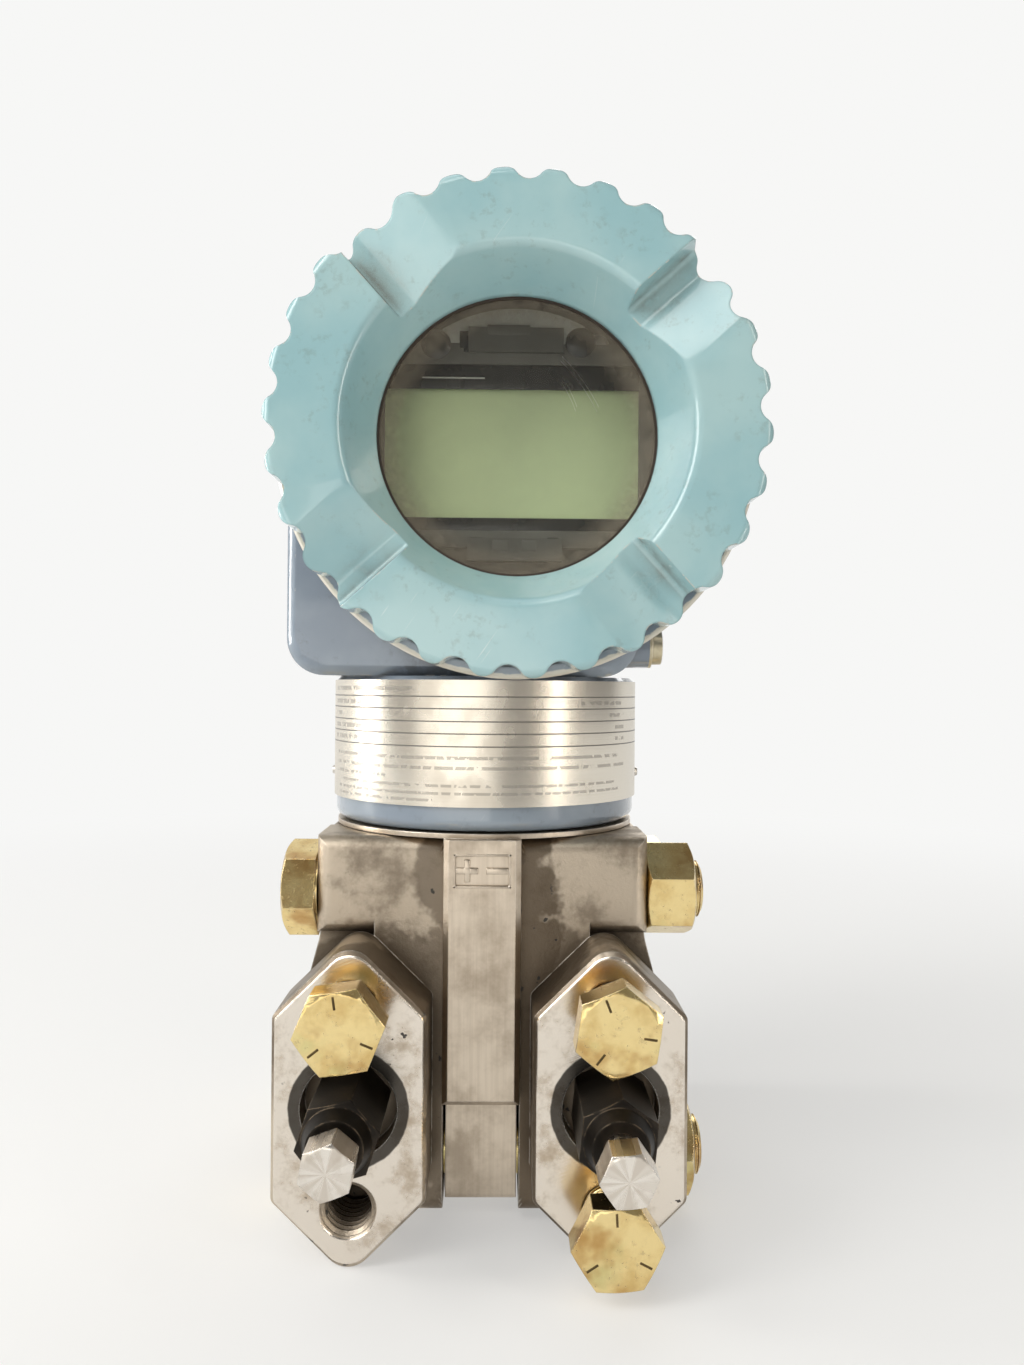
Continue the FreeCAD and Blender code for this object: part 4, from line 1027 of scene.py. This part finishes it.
@dataclass
class DisplayFace:
    """Masks, strips, snap clip and screw domes on the front of the display.

    Positions are in millimetres from the middle of the barrel, across and up.
    """

    middle: tuple[float, float] = (6.75, 139.5)
    front: float = -83.0
    panel: tuple[float, float, float, float] = (-29.2, 27.2, -15.0, 14.5)
    mask_top: float = 19.0
    band_top: float = 23.7
    strip: tuple[float, float, float] = (-20.0, 15.0, 31.5)
    domes: tuple[tuple[float, float], ...] = ((-17.9, 23.3), (14.0, 24.0))
    dome_radius: float = 3.3
    # Dark plates painted as the shade in the sockets beside the clips and in the gap below the upper clip.
    socket_shade_plates: tuple[tuple[float, float, float, float], ...] = (
        (-12.7, -8.4, 22.6, 26.3), (5.6, 8.6, 22.9, 26.2), (-11.8, 7.9, 21.7, 22.9),
        (-10.3, -7.4, -21.7, -19.3), (6.9, 9.4, -21.6, -19.2))
    clip: tuple[tuple[float, float, float, float], ...] = ((-8.5, 5.6, 23.2, 25.8), (-6.6, 2.9, 25.2, 27.5))
    tongues: tuple[tuple[float, float, float, float], ...] = ((-5.1, -1.8, -22.4, -20.0), (1.3, 4.5, -22.4, -20.0))

    def build(self) -> None:
        """Build and dress the whole face."""
        dark = Moulding("black mask", (0.014, 0.014, 0.011), 0.25, 0.05).make()
        grey = Moulding("grey bezel band", (0.105, 0.100, 0.082), 0.5).make()
        pale = Moulding("pale strip", (0.50, 0.50, 0.44), 0.5, 0.05).make()
        left, right, low, high = self.panel
        masks = [(left, right, high - 0.9, self.mask_top), (left, right, low - 2.7, low + 0.1)]
        bands = [(left, right, self.mask_top, self.band_top), (left + 2.0, right - 2.0, low - 6.6, low - 2.7)]
        self.add("panel_mask", masks, -0.30, 0.3, dark)
        self.add("bezel_bands", bands, -0.60, 0.3, grey)
        self.add("mask_line", [(-20.9, -7.1, 15.85, 16.2)], -0.36, -0.1, pale)
        # Painted shade: dark plates in the sockets and below the upper clip.
        self.add("clip_socket_shade", list(self.socket_shade_plates), -0.72, 0.0, dark)
        self.add("clip_step_low", [self.clip[0]], -1.35, 0.0, grey)
        self.add("clip_step_high", [self.clip[1], *self.tongues], -1.55, 0.0, grey)
        dress(self.name_strip(), pale, Body.HOUSING)
        dress(self.screw_domes(), dark, Body.HOUSING)

    def add(self, name: str, plates: list[tuple[float, float, float, float]], near: float, far: float,
            material: bpy.types.Material) -> None:
        """Make and dress thin plates on the display's front.

        Args:
            name: Name of the piece.
            plates: Left, right, bottom and top of each plate.
            near: Front of the plates, from the display's front.
            far: Back of the plates.
            material: Their finish.
        """
        mesh = bmesh.new()
        across, up = self.middle
        for left, right, low, high in plates:
            rounded_block(mesh, (across + left, self.front + near, up + low),
                          (across + right, self.front + far, up + high), 0.12)
        dress(to_object(name, mesh), material, Body.HOUSING)

    def name_strip(self) -> bpy.types.Object:
        """Blank pale strip above the band, cut from a disc."""
        mesh = bmesh.new()
        left, right, radius = self.strip
        bmesh.ops.create_circle(mesh, cap_ends=True, segments=128, radius=radius * MM)
        bmesh.ops.transform(mesh, matrix=Matrix.Rotation(math.pi / 2.0, 4, "X"), verts=mesh.verts)
        cuts = (((0, 0, self.band_top), (0, 0, 1)), ((left, 0, 0), (1, 0, 0)), ((right, 0, 0), (-1, 0, 0)))
        for point, normal in cuts:
            bmesh.ops.bisect_plane(mesh, geom=mesh.verts[:] + mesh.edges[:] + mesh.faces[:],
                                   plane_co=Vector(point) * MM, plane_no=normal, clear_inner=True)
        grown = bmesh.ops.extrude_face_region(mesh, geom=mesh.faces[:])
        moved = [item for item in grown["geom"] if isinstance(item, bmesh.types.BMVert)]
        bmesh.ops.translate(mesh, vec=(0, 2.4 * MM, 0), verts=moved)
        place = (self.middle[0] * MM, (self.front - 0.3) * MM, self.middle[1] * MM)
        bmesh.ops.translate(mesh, vec=place, verts=mesh.verts)
        bmesh.ops.recalc_face_normals(mesh, faces=mesh.faces)
        return to_object("name_strip", mesh)

    def screw_domes(self) -> bpy.types.Object:
        """Dark domed heads at both ends of the pale strip."""
        whole = bmesh.new()
        store = bpy.data.meshes.new("part")
        radius = self.dome_radius
        dome = [(0.0, 0.0), (0.0, radius), (-0.7, radius), (-1.25, radius * 0.75), (-1.5, radius * 0.4), (-1.55, 0.0)]
        for across, up in self.domes:
            start = (self.middle[0] + across, self.front, self.middle[1] + up)
            mesh = turned(dome, start, (0, 1, 0), closed=False, steps=40)
            mesh.to_mesh(store)
            mesh.free()
            whole.from_mesh(store)
        bpy.data.meshes.remove(store)
        return to_object("clip_domes", whole, 50.0)


@dataclass
class ScrewedCovers:
    """Front cover with its window and rear cover, both in the light blue enamel."""

    scratches: tuple[tuple[float, float, float], ...] = ((-0.012, 0.128, 0.040), (-0.004, 0.138, 0.0245))

    def build(self) -> None:
        """Build and dress both covers."""
        enamel = Enamel("light blue enamel", (0.285, 0.480, 0.515), (0.37, 0.55, 0.565), (0.62, 0.58, 0.50),
                        (0.15, 0.115, 0.075), 0.24, 0.54, 0.9).make()
        rubber = Moulding("seal rubber", (0.012, 0.012, 0.012), 0.45).make()
        rim = Moulding("window seal", (0.035, 0.022, 0.014), 0.5).make()
        glass = WindowGlass("window glass", self.scratches).make()
        ring = BlackOxide("dusty retainer", (0.10, 0.085, 0.065), (0.22, 0.19, 0.15), 0.5).make()
        dress_copy("front_cover", enamel, Body.FRONT_LID, 40.0)
        dress_copy("window_gasket", rim, Body.FRONT_LID)
        dress_copy("window_glass", glass, Body.FRONT_LID)
        dress_copy("window_retainer", ring, Body.FRONT_LID)
        dress_copy("front_seal", rubber, Body.FRONT_RING)
        dress_copy("rear_cover", enamel, Body.REAR_LID, 40.0)
        dress_copy("rear_seal", rubber, Body.REAR_RING)


@dataclass
class Studio:
    """Pale floor and backdrop, soft lamps, world light and the camera."""

    floor_z: float = -32.7
    lens: float = 27.03
    camera_place: Point = (3.14 * MM, -311.5 * MM, 86.95 * MM)
    pitch: float = 0.32
    yaw: float = -0.77
    roll: float = -0.44
    lamps: tuple[tuple[str, Point, tuple[float, float], float, Colour], ...] = field(default=(
        ("key", (-0.85, -0.60, 0.70), (0.45, 0.90), 8.0, (1.0, 0.985, 0.96)),
        ("left strip", (-0.95, 0.02, 0.20), (0.16, 0.90), 5.0, (1.0, 0.98, 0.95)),
        ("right strip", (0.70, -0.58, 0.25), (0.10, 0.80), 2.0, (1.0, 0.93, 0.84)),
        ("front", (-0.35, -0.95, 1.15), (0.70, 0.50), 3.6, (1.0, 0.985, 0.96)),
        ("low front", (-0.40, -1.10, -0.05), (1.10, 0.50), 3.0, (1.0, 0.97, 0.92)),
        ("top", (-0.25, -0.10, 1.15), (0.90, 0.70), 1.8, (1.0, 0.99, 0.97)),
        ("rim", (0.35, 0.85, 0.75), (0.60, 0.60), 3.0, (1.0, 1.0, 1.0)),
    ))

    def build(self) -> None:
        """Build the stage, lamps, world and camera."""
        self.sweep()
        for name, place, size, power, colour in self.lamps:
            data = bpy.data.lights.new(name, "AREA")
            data.shape = "RECTANGLE"
            data.size, data.size_y = size
            data.energy = power
            data.color = colour
            lamp = bpy.data.objects.new(name, data)
            lamp.location = place
            aim = Vector((0.0, -0.05, 0.08)) - Vector(place)
            lamp.rotation_euler = aim.to_track_quat("-Z", "Y").to_euler()
            bpy.context.scene.collection.objects.link(lamp)
        self.world()
        self.camera()
        bpy.context.scene.view_settings.view_transform = "Standard"

    def sweep(self) -> None:
        """Floor that curves up into a backdrop, one smooth sheet."""
        mesh = bmesh.new()
        depth, height, radius, width = 1.6, 1.9, 0.5, 3.2
        floor = self.floor_z * MM
        points = [Vector((-width, -0.7, floor)), Vector((-width, depth - radius, floor))]
        for step in range(1, 13):
            angle = math.pi / 2.0 * step / 12.0
            points.append(Vector((-width, depth - radius + radius * math.sin(angle), floor + radius * (1 - math.cos(angle)))))
        points.append(Vector((-width, depth, height)))
        verts = [mesh.verts.new(point) for point in points]
        edges = [mesh.edges.new(pair) for pair in zip(verts, verts[1:])]
        grown = bmesh.ops.extrude_edge_only(mesh, edges=edges)
        moved = [item for item in grown["geom"] if isinstance(item, bmesh.types.BMVert)]
        bmesh.ops.translate(mesh, vec=(2.0 * width, 0, 0), verts=moved)
        bmesh.ops.recalc_face_normals(mesh, faces=mesh.faces)
        sheet = to_object("studio_sweep", mesh, 60.0)
        sheet.data.materials.append(self.sweep_paint())

    def sweep_paint(self) -> bpy.types.Material:
        """Matt white that reads as plain white, and still takes the object's shadow."""
        look = Shading("studio white")
        path = look.node("ShaderNodeLightPath")
        seen = look.sum(Operation.MAXIMUM, path.outputs["Is Camera Ray"], path.outputs["Is Glossy Ray"])
        seen = look.sum(Operation.MAXIMUM, seen, path.outputs["Is Transmission Ray"])
        place = look.place()
        far = look.node("ShaderNodeVectorMath", {"operation": "DISTANCE"}, {0: place, 1: (0.0, -0.05, -0.03)})
        share = look.span(far.outputs["Value"], 0.10, 0.75, 0.45, 1.0)
        glow = look.node("ShaderNodeEmission", inputs={"Color": (0.93, 0.93, 0.92), "Strength": 1.0})
        look.set(Base_Color=(0.86, 0.86, 0.85), Roughness=0.9, Specular_IOR_Level=0.0)
        both = look.node("ShaderNodeMixShader", inputs={0: look.sum(Operation.MULTIPLY, seen, share),
                                                       1: look.surface.outputs[0], 2: glow.outputs[0]})
        look.tree.links.new(both.outputs[0], look.output.inputs["Surface"])
        return look.material

    def world(self) -> None:
        """Even pale light from all round."""
        world = bpy.data.worlds.new("studio world")
        world.use_nodes = True
        tree = world.node_tree
        background = tree.nodes["Background"]
        background.inputs["Color"].default_value = (0.92, 0.90, 0.87, 1.0)
        background.inputs["Strength"].default_value = 0.24
        bpy.context.scene.world = world

    def camera(self) -> None:
        """Camera at the height of the neck, close in front."""
        data = bpy.data.cameras.new("camera")
        data.sensor_fit = "AUTO"
        data.sensor_width = 36.0
        data.lens = self.lens
        data.clip_start = 0.01
        data.clip_end = 20.0
        turn = (Matrix.Rotation(math.radians(self.yaw), 4, "Z") @ Matrix.Rotation(math.radians(self.pitch), 4, "X")
                @ Matrix.Rotation(math.radians(self.roll), 4, "Y") @ Matrix.Rotation(math.pi / 2.0, 4, "X"))
        camera = bpy.data.objects.new("camera", data)
        camera.matrix_world = Matrix.Translation(self.camera_place) @ turn
        bpy.context.scene.collection.objects.link(camera)
        bpy.context.scene.camera = camera


def main() -> None:
    """Dress the transmitter and set the stage."""
    logging.basicConfig(level=logging.INFO, format="%(name)s: %(message)s")
    for part in (ProcessEnd(), Fasteners(), Vents(), Topworks(), DisplayFace(), ScrewedCovers(), Studio()):
        part.build()
        LOG.info("%s is in place", type(part).__name__)


if __name__ == "__main__":
    main()
